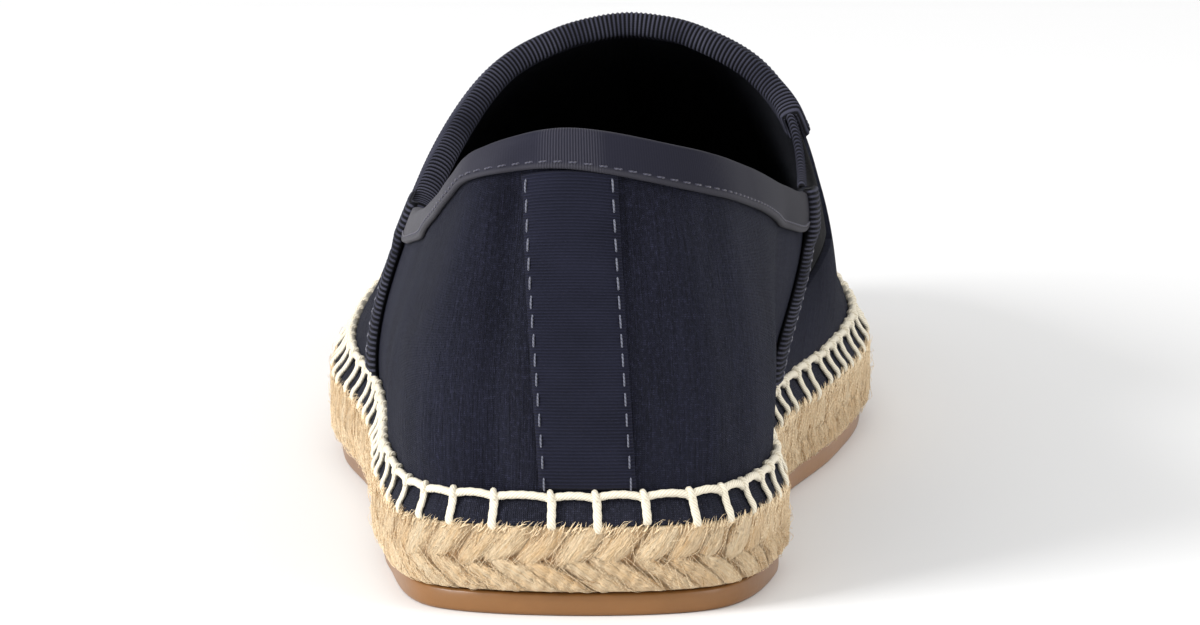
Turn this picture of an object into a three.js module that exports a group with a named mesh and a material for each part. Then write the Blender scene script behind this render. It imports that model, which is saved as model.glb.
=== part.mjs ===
import * as THREE from "three";

// An espadrille for a left foot. It stands on the floor, toe towards +Y,
// inner side of the foot towards +X, up is +Z. All lengths are millimetres.

// Driving sizes of the shoe.
const LENGTH = 286; // outline of the jute sole, heel to toe
const BALL_WIDTH = 106; // outline across the ball of the foot
const HEEL_WIDTH = 75; // outline across the heel
const INSTEP_HEIGHT = 83.2; // floor to the top of the throat
const HEEL_HEIGHT = 88; // floor to the collar at the heel's back
const RUBBER_THICK = 4.5; // outsole
const JUTE_THICK = 16.7; // braided midsole with its shoulder
const INSOLE_THICK = 2.6;
const TOE_SPRING = 9; // lift of the sole's underside at the tip
const SPRING_FROM = 0.68; // share of LENGTH where the sole starts to rise
const QUARTER_WALL = 1.6; // canvas with its lining
const VAMP_STEP = 0.8; // the vamp lies over the quarter by this much
const TAPE_THICK = 0.8; // grosgrain ribbon of every binding
const GAP = 0.3; // glue line between neighbouring pieces

// Sections round the shoe, from the heel's back by the inner side to the toe
// and home by the outer side. "wide" names the width that x lengths are
// shares of, y lengths are shares of LENGTH, z lengths are shares of the
// height at that end. out: outline of the sole. top: topline of the upper.
// rise, flare: how the wall leaves the sole. lead: how it comes to the
// topline. lip: how far the upper's crease stands in from the outline.
const COLUMNS = [
  "name", "end", "outX", "outY", "topX", "topY", "topZ", "rise", "flare", "leadX", "leadY", "leadZ", "lip",
];
const SECTIONS = [
  ["heel_back", "heel", -0.033, 0.0, -0.04, 0.031, 1.0, 0.292, 0.04, 0.0, -0.014, -0.27, 0.045],
  ["heel_round_in", "heel", 0.345, 0.022, 0.251, 0.052, 0.948, 0.292, 0.04, 0.04, -0.01, -0.247, 0.043],
  ["heel_in", "heel", 0.487, 0.125, 0.382, 0.14, 0.858, 0.247, 0.033, 0.053, 0.0, -0.225, 0.043],
  ["waist_in", "heel", 0.441, 0.241, 0.467, 0.294, 0.724, 0.18, 0.013, 0.027, -0.007, -0.18, 0.045],
  ["edge_in", "ball", 0.341, 0.339, 0.362, 0.444, 0.659, 0.141, 0.009, 0.019, -0.028, -0.141, 0.036],
  ["gore_in", "ball", 0.434, 0.477, 0.338, 0.521, 0.806, 0.198, 0.041, 0.05, -0.007, -0.155, 0.04],
  ["ball_in", "ball", 0.478, 0.59, 0.276, 0.543, 0.886, 0.14, -0.045, 0.062, 0.035, -0.062, 0.041],
  ["toe_in", "ball", 0.408, 0.79, 0.153, 0.556, 0.972, 0.187, -0.038, 0.097, 0.098, -0.09, 0.041],
  ["tip_in", "ball", 0.288, 0.949, 0.082, 0.56, 0.995, 0.212, 0.0, 0.047, 0.147, -0.153, 0.041],
  ["tip", "ball", 0.029, 1.0, 0.033, 0.561, 1.0, 0.212, 0.0, 0.0, 0.161, -0.165, 0.041],
  ["tip_out", "ball", -0.242, 0.945, -0.021, 0.56, 0.993, 0.212, 0.0, -0.047, 0.147, -0.153, 0.043],
  ["toe_out", "ball", -0.431, 0.82, -0.102, 0.554, 0.965, 0.191, -0.008, -0.105, 0.098, -0.128, 0.045],
  ["ball_out", "ball", -0.522, 0.622, -0.218, 0.531, 0.88, 0.125, -0.073, -0.094, 0.035, -0.112, 0.047],
  ["arch_out", "ball", -0.51, 0.464, -0.301, 0.483, 0.736, 0.08, -0.025, -0.074, 0.0, -0.126, 0.047],
  ["edge_out", "ball", -0.45, 0.373, -0.345, 0.434, 0.631, 0.118, 0.009, -0.044, -0.007, -0.141, 0.04],
  ["waist_out", "heel", -0.576, 0.264, -0.44, 0.287, 0.676, 0.18, 0.02, -0.053, -0.003, -0.18, 0.048],
  ["heel_out", "heel", -0.529, 0.136, -0.36, 0.133, 0.804, 0.247, 0.033, -0.06, 0.0, -0.225, 0.043],
  ["heel_round_out", "heel", -0.391, 0.026, -0.255, 0.052, 0.944, 0.292, 0.04, -0.04, -0.01, -0.247, 0.043],
];

// How many wall columns lie between each section and the next one.
const COLUMNS_BETWEEN = [4, 4, 4, 5, 5, 5, 6, 5, 3, 3, 5, 6, 4, 4, 5, 4, 4, 4];

// Profile of the jute wall: inset from the outline and height over the
// rubber, both as shares of JUTE_THICK; slant moves the strands along the
// wall in pitches, crown and groove push them out or in.
const JUTE_PROFILE = [
  { name: "underside", inset: 0.17, z: 0.0, slant: 0.8, relief: 0.0 },
  { name: "lower_edge", inset: 0.045, z: 0.075, slant: 0.7, relief: 0.3 },
  { name: "lower_strand", inset: 0.0, z: 0.21, slant: 0.4, relief: 1.0 },
  { name: "middle_groove", inset: 0.035, z: 0.37, slant: 0.0, relief: 0.5 },
  { name: "upper_strand", inset: 0.0, z: 0.52, slant: 0.4, relief: 1.0 },
  { name: "upper_edge", inset: 0.012, z: 0.67, slant: 0.8, relief: 0.4 },
  { name: "shoulder", inset: 0.114, z: 0.7, slant: 0.9, relief: 0.0 },
  { name: "seat", inset: 0.3, z: 0.935, slant: 0.9, relief: 0.0 },
  { name: "top", inset: 0.47, z: 1.0, slant: 0.9, relief: 0.0 },
];
const STRANDS = 104; // strands counted once round the sole
const STRAND_RELIEF = 0.024; // crown of a strand, share of JUTE_THICK
const STRAND_GROOVE = -1.5; // gap between two strands, in crowns

// Margin of canvas folded out over the sole's shoulder, shares of JUTE_THICK.
const MARGIN_INSET = 0.036;
const MARGIN_DROP = 0.3; // crease down to the margin's end
const CREASE_OVER = 0.05; // crease above the jute's top

// Where pieces lie on the wall: w runs from 0 at the crease to 1 at the top.
const GORE_FLOOR = 0.44; // lower end of the elastic gore
const GORE_EDGE = 0.021; // canvas strip behind the gore, share of LENGTH
const COLLAR_BAND = 0.085; // collar binding's height, share of HEEL_HEIGHT
const COLLAR_NARROW = 0.45; // height left at its outer end
const COLLAR_NARROW_RUN = 0.21; // where it is full again, share of LENGTH
const THROAT_BAND = 0.06; // throat binding's height, share of INSTEP_HEIGHT
const EDGE_BAND = 0.062; // binding of the vamp's rear edges, same share
const COLLAR_CLEAR = 0.028; // collar binding ends this far from the vamp, same share
const THROAT_CLEAR = 0.007; // throat binding ends inside the vamp by this, same share
const HEEL_TAPE = 0.22; // heel strip's width, share of HEEL_WIDTH
const HEEL_TAPE_LEAN = 0.04; // its foot leans to the inner side by this
const RUBBER_INSET = 0.007; // rubber stands in from the jute, share of LENGTH

const JUTE_FLOOR = RUBBER_THICK;
const JUTE_TOP = JUTE_FLOOR + JUTE_THICK;
const CREASE_Z = JUTE_TOP + CREASE_OVER * JUTE_THICK;

// Section rows in millimetres.
const rows = SECTIONS.map((cells) => {
  const share = Object.fromEntries(COLUMNS.map((name, i) => [name, cells[i]]));
  const width = share.end === "heel" ? HEEL_WIDTH : BALL_WIDTH;
  const height = share.end === "heel" ? HEEL_HEIGHT : INSTEP_HEIGHT;
  return {
    name: share.name,
    v: [
      share.outX * width, share.outY * LENGTH,
      share.topX * width, share.topY * LENGTH, share.topZ * height,
      share.rise * height, share.flare * width,
      share.leadX * width, share.leadY * LENGTH, share.leadZ * height,
      share.lip * width,
    ],
  };
});

// Closed smooth curve through the rows, spaced by their outline distance.
const count = rows.length;
const span = rows.map((row, i) => {
  const next = rows[(i + 1) % count].v;
  return Math.hypot(next[0] - row.v[0], next[1] - row.v[1]);
});
const knots = [0];
span.forEach((d) => knots.push(knots[knots.length - 1] + d));
const ROUND = knots[count];
const slopes = rows.map((row, i) => {
  const before = (i + count - 1) % count;
  const after = (i + 1) % count;
  return row.v.map((value, k) => {
    const back = (value - rows[before].v[k]) / span[before];
    const ahead = (rows[after].v[k] - value) / span[i];
    return (back * span[i] + ahead * span[before]) / (span[i] + span[before]);
  });
});

function sectionAt(s) {
  const t = ((s % ROUND) + ROUND) % ROUND;
  let i = 0;
  while (i < count - 1 && knots[i + 1] <= t) i += 1;
  const j = (i + 1) % count;
  const h = span[i];
  const u = (t - knots[i]) / h;
  const a = 2 * u ** 3 - 3 * u ** 2 + 1;
  const b = (u ** 3 - 2 * u ** 2 + u) * h;
  const c = -2 * u ** 3 + 3 * u ** 2;
  const d = (u ** 3 - u ** 2) * h;
  return rows[i].v.map((value, k) => a * value + b * slopes[i][k] + c * rows[j].v[k] + d * slopes[j][k]);
}

const knotOf = (name) => knots[rows.findIndex((row) => row.name === name)];

// Outward direction of the outline in plan.
function outward(s) {
  const a = sectionAt(s - 0.5);
  const b = sectionAt(s + 0.5);
  const size = Math.hypot(b[0] - a[0], b[1] - a[1]);
  return [(b[1] - a[1]) / size, -(b[0] - a[0]) / size];
}

// Lift of the sole towards the toe.
function spring(y) {
  const u = Math.max(0, (y / LENGTH - SPRING_FROM) / (1 - SPRING_FROM));
  return TOE_SPRING * u * u;
}

// A point inset from the outline at a height over the flat sole.
function onRing(s, inset, z) {
  const v = sectionAt(s);
  const n = outward(s);
  const x = v[0] - n[0] * inset;
  const y = v[1] - n[1] * inset;
  return new THREE.Vector3(x, y, z + spring(y));
}

// The wall of the upper: a bent spoke from the crease up to the topline.
function wall(s, w) {
  const v = sectionAt(s);
  const n = outward(s);
  const foot = onRing(s, v[10], CREASE_Z);
  const first = new THREE.Vector3(foot.x + n[0] * v[6], foot.y + n[1] * v[6], foot.z + v[5]);
  const top = new THREE.Vector3(v[2], v[3], v[4]);
  const last = new THREE.Vector3(v[2] + v[7], v[3] + v[8], v[4] + v[9]);
  const k = 1 - w;
  return foot.multiplyScalar(k ** 3)
    .addScaledVector(first, 3 * k * k * w)
    .addScaledVector(last, 3 * k * w * w)
    .addScaledVector(top, w ** 3);
}

function across(s, w) {
  return wall(s + 0.4, w).sub(wall(s - 0.4, w)).divideScalar(0.8);
}

function upSlope(s, w) {
  const low = Math.max(0, w - 0.01);
  const high = Math.min(1, w + 0.01);
  return wall(s, high).sub(wall(s, low)).divideScalar(high - low);
}

// Point lifted off the wall along its normal; over > 0 runs past the top.
function lifted(s, w, lift, over = 0) {
  const up = upSlope(s, w);
  const normal = across(s, w).cross(up).normalize();
  const point = wall(s, w).addScaledVector(normal, lift);
  return point.addScaledVector(up.normalize(), over);
}

// Steps of a given length along the wall or down from the topline.
const along = (s, w, length) => s + length / across(s, w).length();
const below = (s, depth) => 1 - depth / upSlope(s, 0.95).length();

// Columns of the wall, with the vamp's rear edges doubled for the step.
const EDGE_IN = knotOf("edge_in");
const EDGE_OUT = knotOf("edge_out");
const GORE_START = EDGE_IN + GORE_EDGE * LENGTH;
const GORE_END = knotOf("gore_in");
const STEP_RUN = 0.3;
const columns = [];
for (let i = 0; i < count; i += 1) {
  for (let j = 0; j < COLUMNS_BETWEEN[i]; j += 1) {
    columns.push(knots[i] + (span[i] * j) / COLUMNS_BETWEEN[i]);
  }
}
const COLLAR_FROM = along(EDGE_OUT, 1, COLLAR_CLEAR * INSTEP_HEIGHT);
const COLLAR_TO = along(EDGE_IN, 1, -COLLAR_CLEAR * INSTEP_HEIGHT);
const THROAT_FROM = along(GORE_END, 1, THROAT_CLEAR * INSTEP_HEIGHT);
const THROAT_TO = along(EDGE_OUT, 1, -THROAT_CLEAR * INSTEP_HEIGHT);
columns.push(EDGE_IN + STEP_RUN, EDGE_OUT - STEP_RUN, GORE_START, COLLAR_FROM, COLLAR_TO);
columns.sort((a, b) => a - b);
const onVamp = (s) => s > EDGE_IN + STEP_RUN / 2 && s < EDGE_OUT - STEP_RUN / 2;
const stepAt = (s) => (onVamp(s) ? VAMP_STEP : 0);

// Colour, roughness and metalness of each piece.
const FINISHES = {
  outsole: { color: "#a4773f", roughness: 0.62, metalness: 0 },
  jute_midsole: { color: "#d8b98a", roughness: 0.92, metalness: 0 },
  insole: { color: "#20222c", roughness: 0.95, metalness: 0 },
  upper: { color: "#23263a", roughness: 0.9, metalness: 0 },
  gore: { color: "#0c0c10", roughness: 0.8, metalness: 0 },
  throat_binding: { color: "#30303f", roughness: 0.75, metalness: 0 },
  collar_binding: { color: "#4a4850", roughness: 0.7, metalness: 0 },
  edge_binding_inner: { color: "#30303f", roughness: 0.75, metalness: 0 },
  edge_binding_outer: { color: "#30303f", roughness: 0.75, metalness: 0 },
  heel_strip: { color: "#2a2b3c", roughness: 0.8, metalness: 0 },
};

// Builds one closed mesh from points and faces, faces turned outwards.
function solid(name, points, faces) {
  let volume = 0;
  faces.forEach(([a, b, c]) => {
    volume += points[a].dot(points[b].clone().cross(points[c]));
  });
  if (volume < 0) faces.forEach((face) => face.reverse());
  const geometry = new THREE.BufferGeometry();
  const flat = [];
  points.forEach((p) => flat.push(p.x, p.y, p.z));
  geometry.setAttribute("position", new THREE.Float32BufferAttribute(flat, 3));
  geometry.setIndex(faces.flat());
  geometry.computeVertexNormals();
  const mesh = new THREE.Mesh(geometry, new THREE.MeshStandardMaterial(FINISHES[name]));
  mesh.name = name;
  return mesh;
}

// Two triangles for a four sided face.
function quad(faces, a, b, c, d) {
  faces.push([a, b, c], [a, c, d]);
}

// A slab with a flat top and bottom: rings from the underside up, the first
// and the last one closed by cross lines from the inner to the outer side.
function slab(name, rings) {
  const n = rings[0].length;
  const points = rings.flat();
  const faces = [];
  for (let r = 0; r + 1 < rings.length; r += 1) {
    for (let i = 0; i < n; i += 1) {
      const j = (i + 1) % n;
      quad(faces, r * n + i, r * n + j, (r + 1) * n + j, (r + 1) * n + i);
    }
  }
  const low = 0;
  const high = (rings.length - 1) * n;
  for (let i = 0; i < n / 2; i += 1) {
    const a = i;
    const b = i + 1;
    const c = (n - i - 1) % n;
    const d = (n - i) % n;
    if (a !== d && b !== c) {
      faces.push([low + a, low + c, low + b], [high + a, high + b, high + c]);
      faces.push([low + a, low + d, low + c], [high + a, high + c, high + d]);
    } else if (a === d) {
      faces.push([low + a, low + c, low + b], [high + a, high + b, high + c]);
    } else {
      faces.push([low + a, low + d, low + b], [high + a, high + b, high + d]);
    }
  }
  return solid(name, points, faces);
}

// Stations of a slab, the same number on both sides of heel and tip.
function stations(perSide) {
  const tip = knotOf("tip");
  const list = [];
  for (let i = 0; i < perSide; i += 1) list.push((tip * i) / perSide);
  for (let i = 0; i < perSide; i += 1) list.push(tip + ((ROUND - tip) * i) / perSide);
  return list;
}

// Outsole: thin rubber with a rounded lower edge.
const plain = stations(44);
const rubberIn = RUBBER_INSET * LENGTH;
const rubberRound = 0.2 * RUBBER_THICK;
const outsole = slab("outsole", [
  plain.map((s) => onRing(s, rubberIn + rubberRound, 0)),
  plain.map((s) => onRing(s, rubberIn, rubberRound)),
  plain.map((s) => onRing(s, rubberIn, RUBBER_THICK - GAP)),
]);

// Jute midsole: strands lean away from the groove between its two rows.
const halfStrands = stations(STRANDS);
const pitch = ROUND / STRANDS;
const jute = slab("jute_midsole", JUTE_PROFILE.map((row) => halfStrands.map((s, i) => {
  const crown = i % 2 === 0 ? 1 : STRAND_GROOVE;
  const inset = row.inset * JUTE_THICK - crown * row.relief * STRAND_RELIEF * JUTE_THICK;
  return onRing(s + row.slant * pitch, inset, JUTE_FLOOR + row.z * JUTE_THICK);
})));

// Insole inside the upper's foot; it gives way where the wall leans in.
const insoleIn = (s) => {
  const v = sectionAt(s);
  const lean = (Math.max(0, -v[6]) * INSOLE_THICK) / v[5];
  return v[10] + 1.25 * QUARTER_WALL + 2 * GAP + 1.5 * lean;
};
const insoleLow = JUTE_TOP + GAP;
const insole = slab("insole", [
  plain.map((s) => onRing(s, insoleIn(s) + 0.5, insoleLow)),
  plain.map((s) => onRing(s, insoleIn(s), insoleLow + INSOLE_THICK * 0.4)),
  plain.map((s) => onRing(s, insoleIn(s) + 0.8, insoleLow + INSOLE_THICK)),
]);

// Rows of the wall, closer where it bends.
const WALL_ROWS = [0, 0.05, 0.12, 0.21, 0.32, GORE_FLOOR, 0.55, 0.64, 0.73, 0.82, 0.91, 1];

// Builds a sheet over grid cells: outer and inner face and every free edge.
function sheet(name, outer, inner, present, closed) {
  const cols = outer.length;
  const rowsIn = outer[0].length;
  const points = [...outer.flat(), ...inner.flat()];
  const offset = cols * rowsIn;
  const at = (i, j) => ((i + cols) % cols) * rowsIn + j;
  const lastCol = closed ? cols : cols - 1;
  const has = (i, j) => {
    if (j < 0 || j >= rowsIn - 1) return false;
    if (!closed && (i < 0 || i >= lastCol)) return false;
    return present((i + cols) % cols, j);
  };
  const faces = [];
  for (let i = 0; i < lastCol; i += 1) {
    for (let j = 0; j < rowsIn - 1; j += 1) {
      if (!has(i, j)) continue;
      const a = at(i, j);
      const b = at(i + 1, j);
      const c = at(i + 1, j + 1);
      const d = at(i, j + 1);
      quad(faces, a, b, c, d);
      quad(faces, d + offset, c + offset, b + offset, a + offset);
      if (!has(i, j - 1)) quad(faces, a, a + offset, b + offset, b);
      if (!has(i, j + 1)) quad(faces, d, c, c + offset, d + offset);
      if (!has(i - 1, j)) quad(faces, a, d, d + offset, a + offset);
      if (!has(i + 1, j)) quad(faces, b, b + offset, c + offset, c);
    }
  }
  const used = new Map();
  const kept = [];
  faces.forEach((face) => face.forEach((k, i) => {
    if (!used.has(k)) {
      used.set(k, kept.length);
      kept.push(points[k]);
    }
    face[i] = used.get(k);
  }));
  return solid(name, kept, faces);
}

// Upper: the canvas shell, its folded margin and the vamp's step in one.
const marginIn = MARGIN_INSET * JUTE_THICK;
const marginZ = CREASE_Z - MARGIN_DROP * JUTE_THICK;
const marginThick = QUARTER_WALL * 0.6;
function upperOuter(s) {
  const lip = sectionAt(s)[10];
  const list = [onRing(s, marginIn, marginZ), onRing(s, marginIn + 0.12 * (lip - marginIn), marginZ + 1.1)];
  WALL_ROWS.forEach((w) => {
    const lift = stepAt(s) * Math.min(1, w / 0.05);
    list.push(w === 0 ? wall(s, 0) : lifted(s, w, lift));
  });
  return list;
}
function upperInner(s) {
  const lip = sectionAt(s)[10];
  const list = [onRing(s, marginIn + marginThick, marginZ - 0.25), onRing(s, lip + 0.35, JUTE_TOP - 0.05)];
  WALL_ROWS.forEach((w) => {
    if (w === 0) list.push(onRing(s, lip + QUARTER_WALL, JUTE_TOP + GAP + 0.1));
    else list.push(lifted(s, w, -QUARTER_WALL));
  });
  return list;
}
const floorRow = WALL_ROWS.indexOf(GORE_FLOOR) + 2;
const inGore = (s) => s >= GORE_START - 0.01 && s < GORE_END - 0.01;
const upper = sheet(
  "upper",
  columns.map(upperOuter),
  columns.map(upperInner),
  (i, j) => !(inGore(columns[i]) && j >= floorRow),
  true,
);

// Gore: elastic panel that fills the notch beside the throat.
const goreColumns = [0, 0.25, 0.5, 0.75, 1];
const goreRows = [0, 0.2, 0.4, 0.6, 0.8, 1];
const goreAt = (u, t, lift) => {
  const w = GORE_FLOOR + t * (1 - GORE_FLOOR) + (t === 0 ? 0.012 : 0);
  const start = along(GORE_START, w, GAP * 1.2);
  const end = along(GORE_END, w, -GAP * 1.2);
  return lifted(start + (end - start) * u, w, lift);
};
const gore = sheet(
  "gore",
  goreColumns.map((u) => goreRows.map((t) => goreAt(u, t, -0.1))),
  goreColumns.map((u) => goreRows.map((t) => goreAt(u, t, -QUARTER_WALL + 0.2))),
  () => true,
  false,
);

// A ribbon folded over a free edge of the wall: a channel swept along it.
// "bandAt" gives its height at a place.
function channel(name, from, to, bandAt, lift, cutback) {
  const loops = [];
  const between = [...columns, ...columns.map((s) => s + ROUND)].filter((s) => s > from + 1 && s < to - 1);
  [from, ...between, to].forEach((s) => {
    const band = bandAt(s);
    const w = below(s, band);
    const out = lift + GAP;
    const skin = out + TAPE_THICK;
    const inn = -QUARTER_WALL - GAP;
    const lining = inn - TAPE_THICK;
    loops.push([
      lifted(s, w, out), lifted(s, w, skin), lifted(s, 1, skin, GAP * 0.6),
      lifted(s, 1, out - 0.2, GAP + TAPE_THICK), lifted(s, 1, inn + 0.2, GAP + TAPE_THICK),
      lifted(s, 1, lining, GAP * 0.6), lifted(s, below(s, band * cutback), lining),
      lifted(s, below(s, band * cutback), inn), lifted(s, 1, inn, GAP), lifted(s, 1, out, GAP),
    ]);
  });
  return sweep(name, loops, CHANNEL_FAN);
}

// Closes a row of equal loops; "fan" splits the loop into triangles.
function sweep(name, loops, fan) {
  const n = loops[0].length;
  const faces = [];
  for (let r = 0; r + 1 < loops.length; r += 1) {
    for (let i = 0; i < n; i += 1) {
      const j = (i + 1) % n;
      quad(faces, r * n + i, (r + 1) * n + i, (r + 1) * n + j, r * n + j);
    }
  }
  const last = (loops.length - 1) * n;
  fan.forEach(([a, b, c]) => {
    faces.push([a, b, c]);
    faces.push([last + a, last + c, last + b]);
  });
  return solid(name, loops.flat(), faces);
}
const CHANNEL_FAN = [[0, 1, 2], [0, 2, 9], [9, 2, 3], [9, 3, 4], [9, 4, 8], [8, 4, 5], [8, 5, 6], [8, 6, 7]];
const CORNER_FAN = [[0, 1, 6], [1, 5, 6], [1, 2, 5], [2, 3, 5], [3, 4, 5]];

const collarBand = COLLAR_BAND * HEEL_HEIGHT;
const throatBand = THROAT_BAND * INSTEP_HEIGHT;
const edgeBand = EDGE_BAND * INSTEP_HEIGHT;
// The collar binding narrows towards its outer end.
function collarBandAt(s) {
  const u = Math.min(1, (s - COLLAR_FROM) / (COLLAR_NARROW_RUN * LENGTH));
  return collarBand * (COLLAR_NARROW + (1 - COLLAR_NARROW) * u * u * (3 - 2 * u));
}
const collar = channel(
  "collar_binding",
  COLLAR_FROM,
  COLLAR_TO + ROUND,
  collarBandAt, 0, 0.8,
);
const throat = channel(
  "throat_binding",
  THROAT_FROM,
  THROAT_TO,
  () => throatBand, VAMP_STEP, 0.9,
);

// Ribbon over a rear edge of the vamp, standing over its step.
function edgeTape(name, edge, side, top) {
  const loops = [];
  for (let i = 0; i <= 14; i += 1) {
    const w = 0.06 + (top(edge) - 0.06) * (i / 14);
    const reach = (length) => along(edge, w, side * length);
    const skin = VAMP_STEP + GAP + TAPE_THICK;
    const low = VAMP_STEP + GAP;
    loops.push([
      lifted(reach(-1.5), w, GAP + 0.2), lifted(reach(-1.5), w, skin - 0.3), lifted(reach(-0.6), w, skin),
      lifted(reach(edgeBand - 0.4), w, skin), lifted(reach(edgeBand), w, low),
      lifted(reach(-0.65), w, low), lifted(reach(-0.65), w, GAP + 0.2),
    ]);
  }
  return sweep(name, loops, CORNER_FAN);
}

const edgeInner = edgeTape("edge_binding_inner", EDGE_IN + STEP_RUN, 1, () => 0.985);
const edgeOuter = edgeTape("edge_binding_outer", EDGE_OUT - STEP_RUN, -1, (s) => below(s, throatBand + 0.8));

// Strip up the heel's back, from the crease to under the collar's ribbon.
const tapeHalf = (HEEL_TAPE * HEEL_WIDTH) / 2;
const tapeLean = HEEL_TAPE_LEAN * HEEL_WIDTH;
const tapeTop = below(0, collarBand + 0.6);
const tapeRows = [0.02, 0.1, 0.2, 0.3, 0.4, 0.5, 0.6, 0.7, 0.8, 0.9, 1];
const tapeAt = (u, t, lift) => {
  const w = 0.02 + (tapeTop - 0.02) * t;
  const s = along(0, w, u * tapeHalf + tapeLean * (1 - t));
  return lifted(s, w, lift);
};
const heelStrip = sheet(
  "heel_strip",
  [-1, -0.5, 0, 0.5, 1].map((u) => tapeRows.map((t) => tapeAt(u, t, GAP + TAPE_THICK))),
  [-1, -0.5, 0, 0.5, 1].map((u) => tapeRows.map((t) => tapeAt(u, t, GAP))),
  () => true,
  false,
);

const group = new THREE.Group();
group.name = "espadrille";
group.add(outsole, jute, insole, upper, gore, throat, collar, edgeInner, edgeOuter, heelStrip);

// The origin stands on the floor under the middle of the bounding box.
const box = new THREE.Box3().setFromObject(group);
const middle = box.getCenter(new THREE.Vector3());
group.children.forEach((mesh) => mesh.geometry.translate(-middle.x, -middle.y, -box.min.z));

export default group;
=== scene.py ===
# %% [markdown]
# # An espadrille for the left foot
# A canvas slip-on on a braided jute midsole with a thin rubber outsole. The imported model gives every place
# and size. This lesson dresses it: canvas, ribbon, elastic, jute, thread and rubber, each as its own piece
# of mesh.

# %% [markdown]
# Chance is seeded, so every run makes the same shoe.

# %% Load the frame
import math
import bpy
import numpy as np
from mathutils import Matrix, Vector


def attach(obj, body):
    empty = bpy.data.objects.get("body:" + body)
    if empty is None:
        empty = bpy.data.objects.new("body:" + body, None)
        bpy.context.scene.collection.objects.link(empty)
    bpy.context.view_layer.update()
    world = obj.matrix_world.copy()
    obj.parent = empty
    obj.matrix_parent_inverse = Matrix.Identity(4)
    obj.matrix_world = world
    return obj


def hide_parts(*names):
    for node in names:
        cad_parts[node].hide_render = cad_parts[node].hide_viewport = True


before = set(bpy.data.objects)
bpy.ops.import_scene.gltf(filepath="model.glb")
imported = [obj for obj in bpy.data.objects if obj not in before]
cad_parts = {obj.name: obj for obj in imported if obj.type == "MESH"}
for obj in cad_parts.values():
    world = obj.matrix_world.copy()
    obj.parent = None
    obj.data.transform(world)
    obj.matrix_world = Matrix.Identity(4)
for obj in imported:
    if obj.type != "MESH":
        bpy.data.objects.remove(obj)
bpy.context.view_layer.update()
rng = np.random.default_rng(7)

# %% [markdown]
# ## The last
# A shoe is pulled over a last, a solid foot shape. Everything here is placed on that shape, so it comes
# first. It could be sculpted, but a table of sections round the sole is exact: each row gives the outline
# of the sole, the topline, and how the wall leaves one and reaches the other. The rows are the ones the
# solids were made from.

# %% Sizes and sections of the last, in millimetres and shares
LENGTH = 286.0
BALL_WIDTH = 106.0
HEEL_WIDTH = 75.0
INSTEP_HEIGHT = 83.2
HEEL_HEIGHT = 88.0
RUBBER_THICK = 4.5
JUTE_THICK = 16.7
INSOLE_THICK = 2.6
TOE_SPRING = 9.0
SPRING_FROM = 0.68
WALL = 1.6
VAMP_STEP = 0.8
JUTE_TOP = RUBBER_THICK + JUTE_THICK
CREASE_Z = JUTE_TOP + 0.05 * JUTE_THICK
GORE_FLOOR = 0.44
SECTIONS = [
    # name, end, outline x y, topline x y z, rise, flare, lead x y z, lip
    ("heel_back", "heel", -0.033, 0.0, -0.04, 0.031, 1.0, 0.292, 0.04, 0.0, -0.014, -0.27, 0.045),
    ("heel_round_in", "heel", 0.345, 0.022, 0.251, 0.052, 0.948, 0.292, 0.04, 0.04, -0.01, -0.247, 0.043),
    ("heel_in", "heel", 0.487, 0.125, 0.382, 0.14, 0.858, 0.247, 0.033, 0.053, 0.0, -0.225, 0.043),
    ("waist_in", "heel", 0.441, 0.241, 0.467, 0.294, 0.724, 0.18, 0.013, 0.027, -0.007, -0.18, 0.045),
    ("edge_in", "ball", 0.341, 0.339, 0.362, 0.444, 0.659, 0.141, 0.009, 0.019, -0.028, -0.141, 0.036),
    ("gore_in", "ball", 0.434, 0.477, 0.338, 0.521, 0.806, 0.198, 0.041, 0.05, -0.007, -0.155, 0.04),
    ("ball_in", "ball", 0.478, 0.59, 0.276, 0.543, 0.886, 0.14, -0.045, 0.062, 0.035, -0.062, 0.041),
    ("toe_in", "ball", 0.408, 0.79, 0.153, 0.556, 0.972, 0.187, -0.038, 0.097, 0.098, -0.09, 0.041),
    ("tip_in", "ball", 0.288, 0.949, 0.082, 0.56, 0.995, 0.212, 0.0, 0.047, 0.147, -0.153, 0.041),
    ("tip", "ball", 0.029, 1.0, 0.033, 0.561, 1.0, 0.212, 0.0, 0.0, 0.161, -0.165, 0.041),
    ("tip_out", "ball", -0.242, 0.945, -0.021, 0.56, 0.993, 0.212, 0.0, -0.047, 0.147, -0.153, 0.043),
    ("toe_out", "ball", -0.431, 0.82, -0.102, 0.554, 0.965, 0.191, -0.008, -0.105, 0.098, -0.128, 0.045),
    ("ball_out", "ball", -0.522, 0.622, -0.218, 0.531, 0.88, 0.125, -0.073, -0.094, 0.035, -0.112, 0.047),
    ("arch_out", "ball", -0.51, 0.464, -0.301, 0.483, 0.736, 0.08, -0.025, -0.074, 0.0, -0.126, 0.047),
    ("edge_out", "ball", -0.45, 0.373, -0.345, 0.434, 0.631, 0.118, 0.009, -0.044, -0.007, -0.141, 0.04),
    ("waist_out", "heel", -0.576, 0.264, -0.44, 0.287, 0.676, 0.18, 0.02, -0.053, -0.003, -0.18, 0.048),
    ("heel_out", "heel", -0.529, 0.136, -0.36, 0.133, 0.804, 0.247, 0.033, -0.06, 0.0, -0.225, 0.043),
    ("heel_round_out", "heel", -0.391, 0.026, -0.255, 0.052, 0.944, 0.292, 0.04, -0.04, -0.01, -0.247, 0.043),
]


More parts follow.
